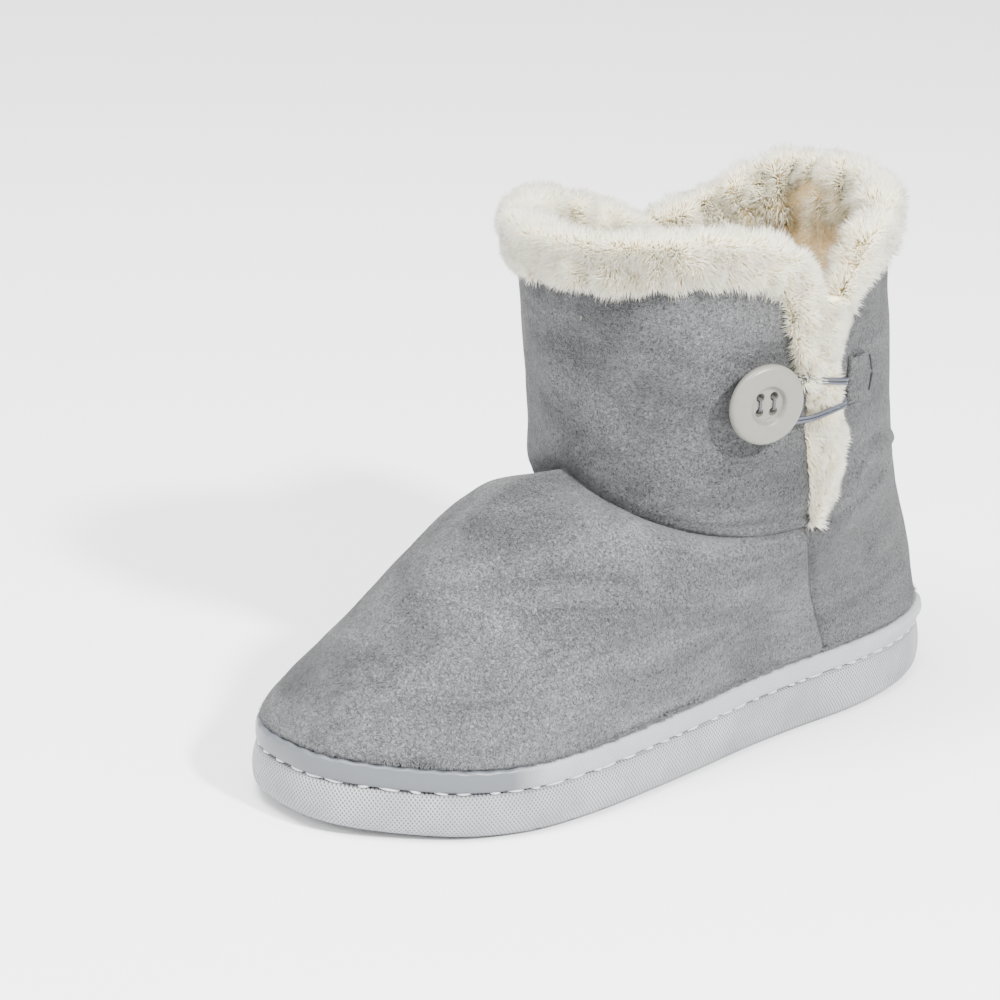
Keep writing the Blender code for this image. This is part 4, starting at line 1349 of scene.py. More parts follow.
    def surface(self) -> Array:
        """The outer face from the slit's front edge once round to its back edge, seam to collar.

        Returns:
            (rows, columns, 3) points.
        """
        v = np.concatenate([np.linspace(0, 0.06, 17)[:-1], np.linspace(0.06, 1.0, self.rows - 16)])
        edges = []
        for front in (True, False):
            share = np.full(len(v), 0.2)
            for _ in range(8):
                seam, top = on_ring(self.seam, share), self.edge_height(share)
                z = seam + (top - seam) * v
                share = self.share_of(self.slit(front, z), z)
            edges.append(share)
        u = np.linspace(0, 1, self.columns + 1)
        share = edges[0][:, None] + (1 + edges[1] - edges[0])[:, None] * u[None]
        seam, top = on_ring(self.seam, share), self.edge_height(share)
        z = seam + (top - seam) * v[:, None]
        points, normal = self.at(share, z), self.normal(share, z)
        front = self.front(share)
        roll = self.roll_side + (self.roll_front - self.roll_side) * front
        above = (z - seam) / roll
        seamed = 1 - self.panel(share)
        tuck = seamed * roll * (1 - np.sqrt(1 - (1 - above.clip(0, 1)) ** 2))
        fold = self.front_fold * front * np.exp(-(((z - seam - self.fold_height) / self.fold_width) ** 2))
        droop = -self.front_droop * front * np.exp(-((above / 1.5) ** 2))
        line = (z - seam - self.topstitch_height) / self.topstitch_width
        fold = fold - seamed * self.topstitch_depth * (1 - front) * np.exp(-(line**2))
        points = points + normal * (fold - tuck)[..., None]
        points[..., 2] += droop
        return points

    def build(self, finish: Material, creases: tuple[Crease, ...]) -> None:
        """Builds the shaft's cloth with its creases.

        Args:
            finish: the suede.
            creases: the shaft's creases.
        """
        points = relief(self.surface(), False, creases, CLOTH_SEED)
        cloth = shell(points, self.wall, False, INNER_STEP)
        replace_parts(cloth.make("shaft_cloth", finish, Slot.UPPER), "upper")


def relief(grid: Array, closed: bool, creases: tuple[Crease, ...], seed: int) -> Array:
    """Moves a grid of cloth along its normals: given creases and a slight unevenness.

    Args:
        grid: (rows, columns, 3) points.
        closed: whether the columns run once round.
        creases: the creases to press in or raise.
        seed: which unevenness.

    Returns:
        The moved points.
    """
    normal = grid_normals(grid, closed)
    lift = sum(height * lumps(grid, size, seed + k) for k, (height, size) in enumerate(UNEVENNESS))
    for crease in creases:
        lift += crease.lift(grid, normal)
    return grid + normal * lift[..., None]


@dataclass
class Foot:
    """The vamp and quarters, from the band up to the ankle seam.

    Beyond its two edges the cloth runs on behind the band and under the shaft.
    """

    last: Last
    shaft: Shaft
    straightness: float = 0.76
    swell: float = 0.0125
    feather: float = 0.0024
    seam_depth: float = 0.0034
    seam_side: float = 0.0012
    seam_start: float = 0.955
    band_round: float = 0.022
    under_shaft: tuple[float, float] = (0.06, 0.12)
    behind_band: float = 0.25
    wall: float = 0.0011
    along: Table = (0.0, 0.05, 0.15, 0.33, 0.50, 0.68, 0.82, 0.92, 1.0)
    swells: Table = (0.0, 0.17, 0.24, 0.30, 0.52, 0.88, 1.0, 0.75, 0.0)
    lifts: Table = (0.0, 0.0, 0.0, 0.0, 0.06, 0.22, 0.42, 0.46, 0.0)
    side_points: int = 217
    rows: int = 121

    def rings(self) -> tuple[Array, Array, Array]:
        """The foot's two edges.

        Returns:
            The ring at the band, the ring at the ankle and the ankle seam's heights, all of equal steps.
        """
        base = self.last.plan(self.side_points, self.last.band_thickness + self.last.gap)
        share = np.arange(len(base)) / len(base)
        return base, on_ring(self.shaft.ankle, share), on_ring(self.shaft.seam, share)

    def surface(self, t: Array) -> Array:
        """Points of the face: straight and round blends of the two rings, swollen out by the table.

        Args:
            t: shares of the way up.

        Returns:
            (rows, columns, 3) points.
        """
        base, ankle, seam = self.rings()
        low = self.last.top(base[:, 1]) + 2 * self.last.gap + self.last.band_height
        forward = (0.25 + 0.75 * inward(base)[:, 1:]).clip(0, 1)
        place = np.arange(len(base)) / len(base)
        depth = self.seam_side + (self.seam_depth - self.seam_side) * self.shaft.front(place)[:, None]
        depth = depth * (1 - self.shaft.panel(place)[:, None])
        rows = []
        for share in t:
            s, above, below = min(max(share, 0.0), 1.0), max(0.0, share - 1.0), min(0.0, share)
            across = (1 - self.straightness) * (1 - math.cos(s * math.pi / 2)) + self.straightness * s
            rise = (1 - self.straightness) * math.sin(s * math.pi / 2) + self.straightness * s
            lip = self.feather * (1 - s) * math.sqrt(1 - (1 - min(s / self.band_round, 1.0)) ** 2)
            outward = lip + self.swell * through(self.along, self.swells, s) * forward
            tuck = depth * ramp((s - self.seam_start) / (1 - self.seam_start)) + self.under_shaft[0] * above
            plan = base + (ankle - base) * across
            plan = plan + inward(plan) * (tuck - outward)
            lift = self.swell * through(self.along, self.lifts, s) * forward[:, 0]
            z = low + (seam - low) * rise + lift + self.under_shaft[1] * above + self.behind_band * below
            rows.append(np.column_stack([plan, z]))
        return np.array(rows)

    def build(self, finish: Material, creases: tuple[Crease, ...]) -> None:
        """Builds the foot's cloth with its creases, tucked in behind the band and under the shaft.

        Args:
            finish: the suede.
            creases: the foot's creases.
        """
        base, middle = np.linspace(0, 0.03, 10)[:-1], np.linspace(0.03, 0.95, self.rows - 22)
        seam = np.linspace(self.seam_start, 1.0, 9)
        t = np.concatenate([[-0.02, -0.01], base, middle, seam, [1.02, 1.05]])
        grid = relief(self.surface(t), True, creases, CLOTH_SEED)
        shell(grid, self.wall, True, INNER_STEP).make("foot_cloth", finish, Slot.UPPER)


@dataclass
class Pile:
    """Fibres of fleece grown on a surface, which lean together in clumps."""

    finish: Material
    width: float = 0.00058
    clump: float = 0.0042
    lean: float = 0.80
    wide_lean: float = 0.35
    stray: float = 0.24
    uneven: float = 0.38
    sunk: float = 0.0006
    smoothing: int = 5

    def roots(self, grid: Array, weight: Array, count: int, seed: int) -> tuple[Array, Array]:
        """Random places on a grid of points, spread evenly by area times weight.

        Args:
            grid: (rows, columns, 3) points, faces to the left of rows x columns.
            weight: (rows - 1, columns - 1) share of fibres for each cell.
            count: how many places.
            seed: which draws.

        Returns:
            The places and the normals there.
        """
        a, b, c, d = grid[:-1, :-1], grid[:-1, 1:], grid[1:, 1:], grid[1:, :-1]
        cross = np.cross(c - a, d - b) / 2
        area = np.linalg.norm(cross, axis=-1)
        facing = unit(cross)
        for _ in range(self.smoothing):
            facing = unit(np.roll(facing, 1, axis=1) + 2 * facing + np.roll(facing, -1, axis=1))
        chance = (area * weight).ravel()
        draws = np.random.default_rng(seed)
        cell = draws.choice(len(chance), count, p=chance / chance.sum())
        s, t = draws.random((2, count, 1))
        a, b, c, d = (corner.reshape(-1, 3)[cell] for corner in (a, b, c, d))
        places = a * (1 - s) * (1 - t) + b * s * (1 - t) + c * s * t + d * (1 - s) * t
        return places, -facing.reshape(-1, 3)[cell]

    def grow(self, roots: Array, normals: Array, length: Array, flow: Array, seed: int) -> Body:
        """Grows one three-sided tapering fibre at each root, leaning with its clump and by chance.

        Args:
            roots: places.
            normals: directions out of the surface.
            length: the fibres' lengths.
            flow: a push for all fibres, such as gravity.
            seed: which draws.

        Returns:
            The closed fibres with their tints: "tip" from root to tip and "lock" by chance.
        """
        draws = np.random.default_rng(seed)
        count = len(roots)
        push = self.lean * lump_vectors(roots, self.clump, seed) + self.stray * draws.normal(size=(count, 3))
        push += self.wide_lean * lump_vectors(roots, 4 * self.clump, seed + 7) + flow
        ahead = unit(normals + 0.85 * push)
        uneven = 1 + self.uneven * lumps(roots, self.clump, seed + 9)
        length = length * draws.uniform(0.75, 1.15, count) * uneven
        tip = roots + ahead * length[:, None]
        side = unit(np.cross(ahead, draws.normal(size=(count, 3))))
        width = self.width / 2 * draws.uniform(0.7, 1.25, (count, 1, 1))
        circle = circles(full_turn(3), side, np.cross(ahead, side))
        base = (roots - normals * self.sunk)[:, None] + circle * width
        points = np.concatenate([base, tip[:, None]], axis=1)
        tris = np.array([[0, 1, 3], [1, 2, 3], [2, 0, 3], [2, 1, 0]]) + np.arange(count)[:, None, None] * 4
        height = np.broadcast_to(np.array([0, 0, 0, 1.0]), (count, 4)).ravel()
        tints = {"tip": height, "lock": np.repeat(draws.random(count), 4)}
        return Body(points.reshape(-1, 3), tris=tris.reshape(-1, 3), tints=tints)


@dataclass
class Fringe:
    """Short fibres of the cloth's nap that stand out along its lower edge."""

    foot: Foot
    pile: Pile
    length: float = 0.0014
    top: float = 0.045
    count: int = 10000
    thinning: Table = (3.0, 2.6, 1.6, 1.0, 0.7, 0.5, 0.3)
    fall: float = 0.75
    seed: int = 15

    def build(self) -> None:
        """Grows the fibres on the lowest strip of the foot, leaning down over the band."""
        grid = self.foot.surface(np.linspace(0.002, self.top, len(self.thinning) + 1))
        grid = np.concatenate([grid, grid[:, :1]], axis=1)
        weight = np.repeat(np.array(self.thinning)[:, None], grid.shape[1] - 1, axis=1)
        roots, normals = self.pile.roots(grid, weight, self.count, self.seed)
        normals = normals * np.sign(np.median((normals[:, :2] * roots[:, :2]).sum(axis=1)))
        length = np.full(self.count, self.length)
        fibres = self.pile.grow(roots, normals, length, -self.fall * UPWARDS, self.seed)
        fibres.make("nap_fringe", self.pile.finish, Slot.UPPER, turn=False)


class Part(Enum):
    """The parts of the cuff's section, each with a reach of its own from the cloth's edge."""

    OUTER = "outer"
    CAP = "cap"
    INNER = "inner"
    ROOF = "roof"


class Side(Enum):
    """The two faces of the shaft's wall on which the cuff lies."""

    OUTSIDE = "outside"
    INSIDE = "inside"


class Facing(Enum):
    """The side to which a strip of the cuff's pile faces."""

    OUT = 1
    UP = 0
    IN = -1


@dataclass(frozen=True)
class Zone:
    """A strip of pile on the cuff, from one row of its section to another."""

    name: str
    low: float
    high: float
    count: int
    length: float
    seed: int
    facing: Facing
    flow: float

    def turned(self, roots: Array, normals: Array) -> Array:
        """The normals, all turned round where they point away from the side that the strip faces.

        Args:
            roots: places on the cuff.
            normals: the cuff's directions there.

        Returns:
            The normals.
        """
        if self.facing is Facing.UP:
            return -normals if np.median(normals[:, 2]) < 0 else normals
        outward = np.sign((normals[:, :2] * (roots[:, :2] - COLLAR_MIDDLE)).sum(axis=1))
        return normals * (np.median(outward) * self.facing.value)


@dataclass
class Cuff:
    """The fleece turned over the shaft's edge: a body of cloth with fibres grown on it.

    A row of its section is a part with a share of its reach, and a side with a share of its depth.
    """

    shaft: Shaft
    pile: Pile
    cloth: Material
    wall: float = 0.0040
    front_end: float = 0.1265
    back_end: float = 0.1500
    drop: float = 0.0112
    drop_back: float = 0.0100
    inner_drop: float = 0.0190
    outside: float = 0.0040
    inside: float = 0.0075
    cap: float = 0.0050
    body_share: float = 0.26
    roof: float = 0.0012
    lift: float = 0.0020
    clear: float = 0.0005
    lump: float = 0.80
    lump_size: float = 0.0055
    rounding: int = 6
    sections: int = 400
    around: int = 44
    section: tuple[tuple[Part, float, Side, float], ...] = (
        (Part.OUTER, 1.00, Side.OUTSIDE, 0.00), (Part.OUTER, 1.00, Side.OUTSIDE, 0.55),
        (Part.OUTER, 0.94, Side.OUTSIDE, 0.90), (Part.OUTER, 0.78, Side.OUTSIDE, 1.00),
        (Part.OUTER, 0.58, Side.OUTSIDE, 1.00), (Part.OUTER, 0.38, Side.OUTSIDE, 1.00),
        (Part.OUTER, 0.18, Side.OUTSIDE, 1.00), (Part.OUTER, -0.02, Side.OUTSIDE, 0.96),
        (Part.CAP, 0.45, Side.OUTSIDE, 0.80), (Part.CAP, 0.62, Side.OUTSIDE, 0.30),
        (Part.CAP, 0.66, Side.INSIDE, -0.22), (Part.CAP, 0.60, Side.INSIDE, 0.35),
        (Part.CAP, 0.40, Side.INSIDE, 0.80), (Part.INNER, 0.30, Side.INSIDE, 1.00),
        (Part.INNER, 0.70, Side.INSIDE, 0.90), (Part.INNER, 1.00, Side.INSIDE, 0.50),
        (Part.INNER, 1.00, Side.INSIDE, 0.00), (Part.INNER, 0.50, Side.INSIDE, 0.00),
        (Part.ROOF, 1.00, Side.INSIDE, 0.00), (Part.ROOF, 1.00, Side.OUTSIDE, 0.00),
        (Part.OUTER, 0.50, Side.OUTSIDE, 0.00),
    )
    zones: tuple[Zone, ...] = (
        Zone("cuff_pile_outer", 0.4, 8.4, 48500, 0.0047, 51, Facing.OUT, -0.22),
        Zone("cuff_pile_edge", 6.6, 12.8, 41000, 0.0050, 61, Facing.UP, 0.10),
        Zone("cuff_pile_inner", 11.6, 15.8, 28000, 0.0052, 71, Facing.IN, 0.10),
    )

    def path(self) -> Array:
        """The cloth's edge: up the slit's front edge, once round and down its back edge, a little rounded.

        Returns:
            (sections, 2) shares of the way round and heights.
        """
        shaft, ends = self.shaft, []
        for front, start in ((True, self.front_end), (False, self.back_end)):
            knots = shaft.front_along if front else shaft.back_along
            end = shaft.slit_height + (shaft.collar_height - shaft.slit_height) * knots[-1]
            z = np.linspace(start, end, 120)
            share = shaft.share_of(shaft.slit(front, z), z)
            ends.append(np.stack([share, z], axis=1)[z < shaft.edge_height(share) - 0.0003])
        first, last = ends[0], ends[1][::-1] + [1.0, 0.0]
        between = np.linspace(first[-1, 0], last[0, 0], 400)[1:-1]
        scale = np.array([shaft.girth, 1.0])
        line = np.concatenate([first, np.column_stack([between, shaft.edge_height(between)]), last]) * scale
        for _ in range(self.rounding):
            line[1:-1] = (line[:-2] + 2 * line[1:-1] + line[2:]) / 4
        return spaced(line, self.sections) / scale

    def surface(self) -> tuple[Array, Array]:
        """The cuff's body: the section's rows, joined smoothly, carried along the path.

        Returns:
            (sections, around, 3) points and, for each point round the section, its row's number.
        """
        shaft, path = self.shaft, self.path()
        scale = np.array([shaft.girth, 1.0])
        ahead = unit(np.gradient(path * scale, axis=0))
        off_edge = np.stack([-ahead[:, 1], ahead[:, 0]], axis=1)
        share = np.linspace(0, 1, len(path))
        drop = self.drop + (self.drop_back - self.drop) * ramp((share - 0.45) / 0.2)
        drop = drop * (0.50 + 0.50 * ramp(share / 0.07)) * (0.35 + 0.65 * ramp((1 - share) / 0.10))
        reach = {Part.OUTER: self.lift - drop, Part.CAP: self.cap, Part.INNER: -self.inner_drop,
                 Part.ROOF: self.roof}
        face = {Side.OUTSIDE: (self.clear, self.outside), Side.INSIDE: (self.clear - self.wall, -self.inside)}
        down, out = [], []
        for part, share_down, side, share_out in self.section:
            start, depth = face[side]
            down.append(np.broadcast_to(reach[part] * share_down, share.shape))
            out.append(np.full(len(share), start + depth * share_out * self.body_share))
        down, out = np.array(down).T, np.array(out).T
        knots = np.arange(len(self.section) + 1)
        row = np.linspace(0, len(self.section), self.around, endpoint=False)
        weights = np.array([through(tuple(knots), tuple(np.eye(len(knots))[k]), row) for k in knots]).T
        weights[:, 0] += weights[:, -1]
        weights = weights[:, :-1]
        down, out = down @ weights.T, out @ weights.T
        place = path[:, None] + down[..., None] * off_edge[:, None] / scale
        surface = shaft.at(place[..., 0], place[..., 1])
        normal = shaft.normal(place[..., 0], place[..., 1])
        lump = 1 + self.lump * lumps(surface, self.lump_size, 41)
        return surface + normal * (out * np.where(np.abs(out) > 0.0006, lump, 1))[..., None], row

    def build(self) -> None:
        """Builds the body and three pieces of pile: outer face, top edge and inner face."""
        grid, row = self.surface()
        sections, around = grid.shape[:2]
        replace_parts(closed_tube(grid).make("cuff_fleece", self.cloth, Slot.CUFF), "fleece_cuff")
        ring = np.concatenate([grid, grid[:, :1]], axis=1)
        middle = np.append(row, len(self.section))
        middle = (middle[:-1] + middle[1:]) / 2
        for zone in self.zones:
            inside = ((middle > zone.low) & (middle < zone.high)).astype(float)
            weight = np.broadcast_to(inside, (sections - 1, around))
            roots, normals = self.pile.roots(ring, weight, zone.count, zone.seed)
            normals = zone.turned(roots, normals)
            length = np.full(zone.count, zone.length)
            fibres = self.pile.grow(roots, normals, length, zone.flow * UPWARDS, zone.seed)
            fibres.make(zone.name, self.pile.finish, Slot.CUFF, turn=False)


@dataclass
class SlitFleece:
    """The fleece that fills the slit: a tapering pad behind the cut edges, with fibres on its face."""

    shaft: Shaft
    pile: Pile
    cloth: Material
    top: float = 0.1530
    proud: float = 0.0002
    swell: float = 0.0030
    swell_height: float = 0.1300
    inside: float = 0.0080
    overlap: float = 0.0016
    clear: float = 0.0004
    hump: float = 0.0010
    edge: float = 0.0012
    count: int = 13000
    length: float = 0.0038
    fall: float = 0.25
    seed: int = 81

    def build(self) -> None:
        """Builds the pad and its pile."""
        shaft = self.shaft
        z = np.linspace(shaft.slit_height + 0.0006, self.top, 60)
        spread = self.overlap * ramp((z - self.swell_height) / 0.010) - self.clear
        front, back = shaft.slit(True, z) - spread, shaft.slit(False, z) + spread
        t = np.linspace(0, 1, 13)
        y = front[:, None] + (back - front)[:, None] * t[None]
        high = np.broadcast_to(z[:, None], y.shape)
        place = shaft.share_of(y, high)
        face, normal = shaft.at(place, high), shaft.normal(place, high)
        hump = np.sin(math.pi * t)[None, :, None]
        rise = self.swell * ramp((z - self.swell_height) / 0.014)[:, None, None]
        dome = self.proud + self.hump * hump - self.edge * (1 - hump)
        outer = face + normal * (dome + rise * (0.3 + 0.7 * hump))
        inner = face - normal * self.inside
        grid = np.concatenate([outer, inner[:, ::-1]], axis=1)
        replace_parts(closed_tube(grid).make("slit_pad", self.cloth, Slot.SLIT), "slit_fleece")
        roots, normals = self.pile.roots(outer, np.ones((len(z) - 1, len(t) - 1)), self.count, self.seed)
        normals = normals * np.sign(normals[:, :1])
        length = np.full(self.count, self.length)
        fibres = self.pile.grow(roots, normals, length, -self.fall * UPWARDS, self.seed)
        fibres.make("slit_pile", self.pile.finish, Slot.SLIT, turn=False)


@dataclass
class Lining:
    """The fleece lining on the inside of the upper, and the footbed."""

    foot: Foot
    shaft: Shaft
    cloth: Material
    foot_depth: float = 0.0052
    shaft_depth: float = 0.0048
    seam_depth: float = 0.0072
    seam_reach: float = 0.0130
    below_edge: float = 0.0020
    wall: float = 0.0012
    tuft: float = 0.0006

    def build(self) -> None:
        """Builds the lining as one wall from the sole to the collar, low tufts on its inner face."""
        foot = self.foot.surface(np.linspace(0.0, 0.93, 18))[:, ::2]
        foot = foot - grid_normals(foot, True) * self.foot_depth
        share = np.arange(foot.shape[1]) / foot.shape[1]
        seam, top = on_ring(self.shaft.seam, share), self.shaft.cloth_top(share) - self.below_edge
        v = np.linspace(0.03, 1.0, 26)[:, None]
        z = seam + (top - seam) * v
        spread = np.broadcast_to(share, z.shape)
        near_seam = 1 - ramp((z - seam) / self.seam_reach)
        depth = self.shaft_depth + (self.seam_depth - self.shaft_depth) * near_seam
        outer = np.concatenate([foot, self.shaft.over(spread, z, -depth)])
        thickness = self.wall + self.tuft * (1 + lumps(outer, 0.004, 91))
        inner = outer - grid_normals(outer, True) * thickness[..., None]
        rows, columns = outer.shape[:2]
        both = np.concatenate([outer, inner[::-1]])
        quads = np.concatenate([grid_quads(2 * rows, columns, True), Band.closing(2 * rows, columns)])
        Body(both.reshape(-1, 3), quads).make("lining", self.cloth, Slot.INSOLE)

    def footbed(self) -> None:
        """Gives the footbed's own solid the lining's finish."""
        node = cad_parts["insole"]
        node.data.materials.clear()
        node.data.materials.append(self.cloth)


@dataclass
class Fastening:
    """The button with its thread, the elastic loop and the tab that holds the loop."""

    shaft: Shaft
    diameter: float = 0.0262
    thickness: float = 0.0046
    well: float = 0.0126
    well_depth: float = 0.0018
    hole: float = 0.0025
    hole_depth: float = 0.0026
    hole_edge: float = 0.00035
    hole_spacing: float = 0.0050
    around: int = 108
    standoff: float = 0.0034
    shank: float = 0.0042
    shank_turns: int = 7
    shank_thread: float = 0.0008
    shank_low: float = 0.0007
    shank_rise: float = 0.0025
    thread: float = 0.00048
    height: float = 0.1240
    centre: float = 0.0120
    elastic: float = 0.0022
    strand: float = 0.00112
    strand_offset: float = 0.00060
    loop_width: float = 0.0170
    loop_end_width: float = 0.0065
    loop_rise: float = 0.0022
    loop_end_height: float = 0.1210
    loop_sag: float = 0.0012
    loop_end_gap: float = 0.0012
    lift_start: float = 0.0240
    lift_length: float = 0.0080
    land_length: float = 0.0035
    clear: float = 0.0003
    tab_front: float = 0.0505
    tab_length: float = 0.0130
    tab_height: float = 0.0165
    tab_thickness: float = 0.0018
    tab_centre: float = 0.1235
    tab_edge: float = 0.0002
    tab_taper: float = 0.42
    tab_wall: float = 0.0006
    tab_thread: float = 0.00072
    tab_thread_lift: float = 0.0018
    tab_seams: tuple[Table, ...] = (
        (-0.70, 1.02, 0.05, 1.00), (0.60, 0.80, 0.90, 0.16), (0.92, 0.02, 0.72, -0.62),
    )

    def frame(self) -> tuple[Array, Array, Array, Array]:
        """The button's own frame on the shaft.

        Returns:
            The place under its middle, and the directions out, across and up.
        """
        z = np.array([self.height])
        share = self.shaft.share_of(np.array([self.centre]), z)
        out = self.shaft.normal(share, z)[0]
        up = unit(UPWARDS - out[2] * out)
        return self.shaft.at(share, z)[0], out, np.cross(up, out), up

    def button(self, finish: Material) -> None:
        """Builds the button: a turned face with a rim and a well, pressed in at its four holes.

        Args:
            finish: its material.
        """
        origin, out, across, up = self.frame()
        edge, well, thick = self.diameter / 2, self.well / 2, self.thickness
        low, high = self.standoff, self.standoff + thick
        inner = np.linspace(0.0002, 0.98 * well, 44)
        beside_well = np.array([1.0, 1.02, 1.05, 1.10]) * well
        outer = np.array([0.58, 0.66, 0.74, 0.80, 0.86, 0.91, 0.95, 0.98, 0.995]) * edge
        knots = [share * well for share in (0.0, 0.78, 0.88, 0.96, 1.03, 1.12)]
        knots += [share * edge for share in (0.78, 0.90, 0.97, 1.0)]
        rise = [high - share * self.well_depth for share in (1.0, 1.0, 0.96, 0.45, 0.14)]
        rise += [high - share * thick for share in (0.03, 0.0, 0.05, 0.18, 0.36)]
        face = np.concatenate([inner, beside_well, outer])
        back = np.array([1.0, 0.985, 0.95, 0.88, 0.78, 0.45, 0.02]) * edge
        under = low + np.array([0.50, 0.34, 0.20, 0.08, 0.02, 0.0, 0.0]) * thick
        radius = np.concatenate([face, back])
        angle = full_turn(self.around)
        x, y = radius[:, None] * np.cos(angle)[None], radius[:, None] * np.sin(angle)[None]
        z = np.concatenate([through(tuple(knots), tuple(rise), face), under])
        z = np.repeat(z[:, None], self.around, axis=1)
        half = self.hole_spacing / 2
        for side_x, side_y in ((-half, -half), (-half, half), (half, -half), (half, half)):
            apart = np.hypot(x - side_x, y - side_y)[: len(face)]
            z[: len(face)] -= ramp((self.hole / 2 - apart) / self.hole_edge + 0.6) * self.hole_depth
        points = origin + x[..., None] * across + y[..., None] * up + z[..., None] * out
        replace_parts(closed_tube(points).make("button_face", finish, Slot.BUTTON), "button")

    def threads(self, finish: Material) -> None:
        """Winds thread on the shank and through the holes, two upright stitches of two strands.

        Args:
            finish: the thread's material.
        """
        origin, out, across, up = self.frame()
        t = np.linspace(0, 1, 140)
        turns = 2 * math.pi * self.shank_turns * t
        line = origin + out * (self.shank_low + self.shank_rise * t)[:, None]
        line = line + self.shank / 2 * (np.cos(turns)[:, None] * across + np.sin(turns)[:, None] * up)
        made = [tube(line, self.shank_thread / 2, 6, out)]
        floor = self.standoff + self.thickness - self.well_depth
        for side in (-0.5, 0.5):
            for strand in (-self.thread / 2, self.thread / 2):
                s = np.linspace(-1, 1, 15)
                rise = 0.0005 - 0.0030 * np.abs(s) ** 6
                line = origin + across * (side * self.hole_spacing + strand)
                line = line + up * (s * self.hole_spacing / 2)[:, None] + out * (floor + rise)[:, None]
                made.append(tube(line, self.thread / 2, 6, out))
        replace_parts(joined(made).make("button_thread", finish, Slot.SHANK), "button_shank")

    def loop_line(self) -> Array:
        """The elastic's middle line: from the tab, round the button's thread and back to the tab.

        Returns:
            (points, 3) of the line, lifted over the fleece between tab and button.
        """
        end = self.tab_front - self.loop_end_gap
        middle = self.height - self.loop_sag
        share = np.linspace(0, 1, 41)[:-1]
        y = end + (self.centre - end) * share
        height = self.loop_end_height + (middle - self.loop_end_height) * share
        apart = self.loop_end_width + (self.loop_width - self.loop_end_width) * (1 - (1 - share) ** 1.3)
        turn = np.linspace(math.pi / 2, 1.5 * math.pi, 41)
        bend = self.loop_width / 2 * np.stack([np.cos(turn), np.sin(turn)], axis=1)
        upper = np.stack([y, height + apart / 2], axis=1)
        lower = np.stack([y, height - apart / 2], axis=1)[::-1]
        line = np.concatenate([upper, np.array([self.centre, middle]) + bend, lower])
        y, z = line.T
        lifted = ramp((y - self.lift_start) / self.lift_length) * ramp((end - y) / self.land_length)
        out = self.elastic / 2 + self.clear + self.loop_rise * lifted
        return self.shaft.over(self.shaft.share_of(y, z), z, out)

    def loop(self, finish: Material) -> None:
        """Builds the elastic loop as two strands side by side.

        Args:
            finish: the cord's material.
        """
        line = self.loop_line()
        beside = unit(np.cross(unit(np.gradient(line, axis=0)), OUTWARDS)) * self.strand_offset
        cords = [tube(line + side * beside, self.strand / 2, 12, OUTWARDS) for side in (-1, 1)]
        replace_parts(joined(cords).make("elastic_cord", finish, Slot.ELASTIC), "elastic_loop")

    def tab(self, suede: Material, thread: Material) -> None:
        """Builds the tab with rounded edges, and its dark stitches.

        Args:
            suede: the tab's material.
            thread: the stitches' material.
        """
        u, v = np.meshgrid(np.linspace(-1, 1, 31), np.linspace(-1, 1, 49), indexing="ij")
        corner = np.maximum(np.abs(u), np.abs(v))
        y = self.tab_front + self.tab_length / 2 * (1 + u)
        z = self.tab_centre + self.tab_height / 2 * v * (1 - self.tab_taper * u.clip(0, 1) ** 2.5)
        dome = np.sqrt((1 - corner**6).clip(0))
        top = self.shaft.over(self.shaft.share_of(y, z), z, self.tab_edge + 0.85 * self.tab_thickness * dome)
        patch = shell(top, self.tab_wall, False, INNER_STEP)
        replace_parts(patch.make("loop_patch", suede, Slot.TAB), "loop_tab")
        made = []
        for u0, v0, u1, v1 in self.tab_seams:
            s = np.linspace(0, 1, 12)
            y = self.tab_front + self.tab_length / 2 * (1 + u0 + (u1 - u0) * s)
            z = self.tab_centre + self.tab_height / 2 * (v0 + (v1 - v0) * s)
            line = self.shaft.over(self.shaft.share_of(y, z), z, self.tab_thread_lift)
            made.append(tube(line, self.tab_thread / 2, 6, OUTWARDS))
        joined(made).make("tab_stitches", thread, Slot.TAB)


